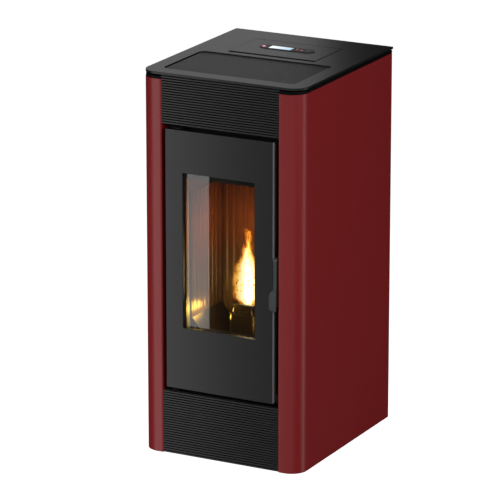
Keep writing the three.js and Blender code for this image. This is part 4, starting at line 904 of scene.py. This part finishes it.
# %% [markdown]
# ## Studio panels
# Satin paint shows what it mirrors, so the lamps are placed by the mirror's rule. A ray from the camera
# that hits the front goes on to the left front and down; one that hits the top goes on to the left back and
# up. Each panel stands across one of those rays, and its edge makes the soft fall-off seen in the
# photograph. Lamps are placed in metres.

# %% Panels
def bounce(normal):
    """Where the line of sight goes after a mirror with this normal."""
    return sight - 2 * sight.dot(Vector(normal)) * Vector(normal)


def panel_lamp(name, place, towards, width, height, radiance):
    """A rectangular soft light of a given radiance, so that its size changes only what it covers."""
    lamp = bpy.data.lights.new(name, "AREA")
    lamp.shape = "RECTANGLE"
    lamp.size, lamp.size_y = width, height
    lamp.energy = radiance * math.pi * width * height
    holder = bpy.data.objects.new(name, lamp)
    scene.collection.objects.link(holder)
    holder.location = place
    holder.rotation_euler = (Vector(towards) - Vector(place)).to_track_quat("-Z", "Y").to_euler()
    holder.visible_camera = holder.visible_transmission = False


def standing_panel(name, right_edge, left_edge, low, high, radiance):
    """An upright panel between two points of the floor plan. It shines to the side of the stove."""
    a, b = Vector(right_edge), Vector(left_edge)
    middle = (a + b) / 2
    across = (b - a).normalized()
    facing = Vector((across.y, -across.x))
    if facing.dot(-middle) < 0:
        facing = -facing
    height = (low + high) / 2
    panel_lamp(name, (*middle, height), (*(middle + facing), height), (b - a).length, high - low, radiance)


def along_ray(start, normal, distance):
    """The floor-plan point that the mirrored line of sight reaches from a point of the stove."""
    ray = bounce(normal).xy.normalized()
    return Vector(start[:2]) + ray * distance


FRONT, TOP = (0, -1, 0), (0, 0, 1)
FRONT_SPAN = (-1.2, 1.3)
glass_edge = along_ray((-0.049, -0.2525), FRONT, 1.0)
standing_panel("panel_front_left", glass_edge, (-0.90, -0.93), *FRONT_SPAN, 1.7)
standing_panel("panel_front", (0.85, -0.95), along_ray((0.30, -0.2525), FRONT, 1.0), *FRONT_SPAN, 0.34)

# A narrow strip stands square to the line on which the rounded corner mirrors it, and draws its bright line.
corner_ray = Vector((0.899, 0.334)).normalized()
strip = Vector((0.22, -0.235)) + corner_ray * 2.0
strip_side = Vector((-corner_ray.y, corner_ray.x)) * 0.13
standing_panel("strip_right", strip - strip_side, strip + strip_side, -1.6, 1.6, 3.3)

top_edge = along_ray((0.155, 0.081), TOP, 1.6)
top_across = Vector((-bounce(TOP).y, bounce(TOP).x)).normalized()
standing_panel("panel_back_left", top_edge, top_edge + top_across * 0.95, 1.1, 2.2, 0.62)
panel_lamp("overhead_right", (2.6, -1.2, 1.7), (0, 0, 0.5), 1.5, 1.5, 3.7)
panel_lamp("overhead_front", (-0.8, -2.6, 2.4), (0, 0, 0.5), 1.5, 1.5, 2.0)

# %% Firelight
def ember(name, place, watts, colour, radius):
    """A small warm light inside the fire chamber."""
    light = bpy.data.lights.new(name, "POINT")
    light.energy, light.color, light.shadow_soft_size = watts, srgb(colour)[:3], radius * MM
    holder = bpy.data.objects.new(name, light)
    holder.location = [value * MM for value in place]
    holder.visible_camera = holder.visible_transmission = False
    scene.collection.objects.link(holder)
    return holder


wall_glow = ember("fire_glow", (FIRE["x"], -150, 590), 1.2, "#ff8f4a", 30)
wall_glow.visible_glossy = False

# A row of embers on the left slope of the funnel.
for index, depth in enumerate((-222, -200, -178, -156)):
    ember(f"ember_glow_{index + 1}", (-84, depth, 384), 0.09, "#ffd050", 10)

# More embers round the pot light only its own iron.
pot_iron = bpy.data.collections.new("pot_iron")
for name in ("cast_burn_pot", "cast_pot_support"):
    pot_iron.objects.link(bpy.data.objects[name])
POT_GLOWS = [(-68, -116, 322), (-68, -116, 342), (-66, -116, 362), (36, -205, 345), (36, -200, 320)]
for index, place in enumerate(POT_GLOWS):
    glow = ember(f"pot_glow_{index + 1}", place, 0.05, "#ffc24a", 6)
    glow.light_linking.receiver_collection = pot_iron
print("Lamps:", len(bpy.data.lights))
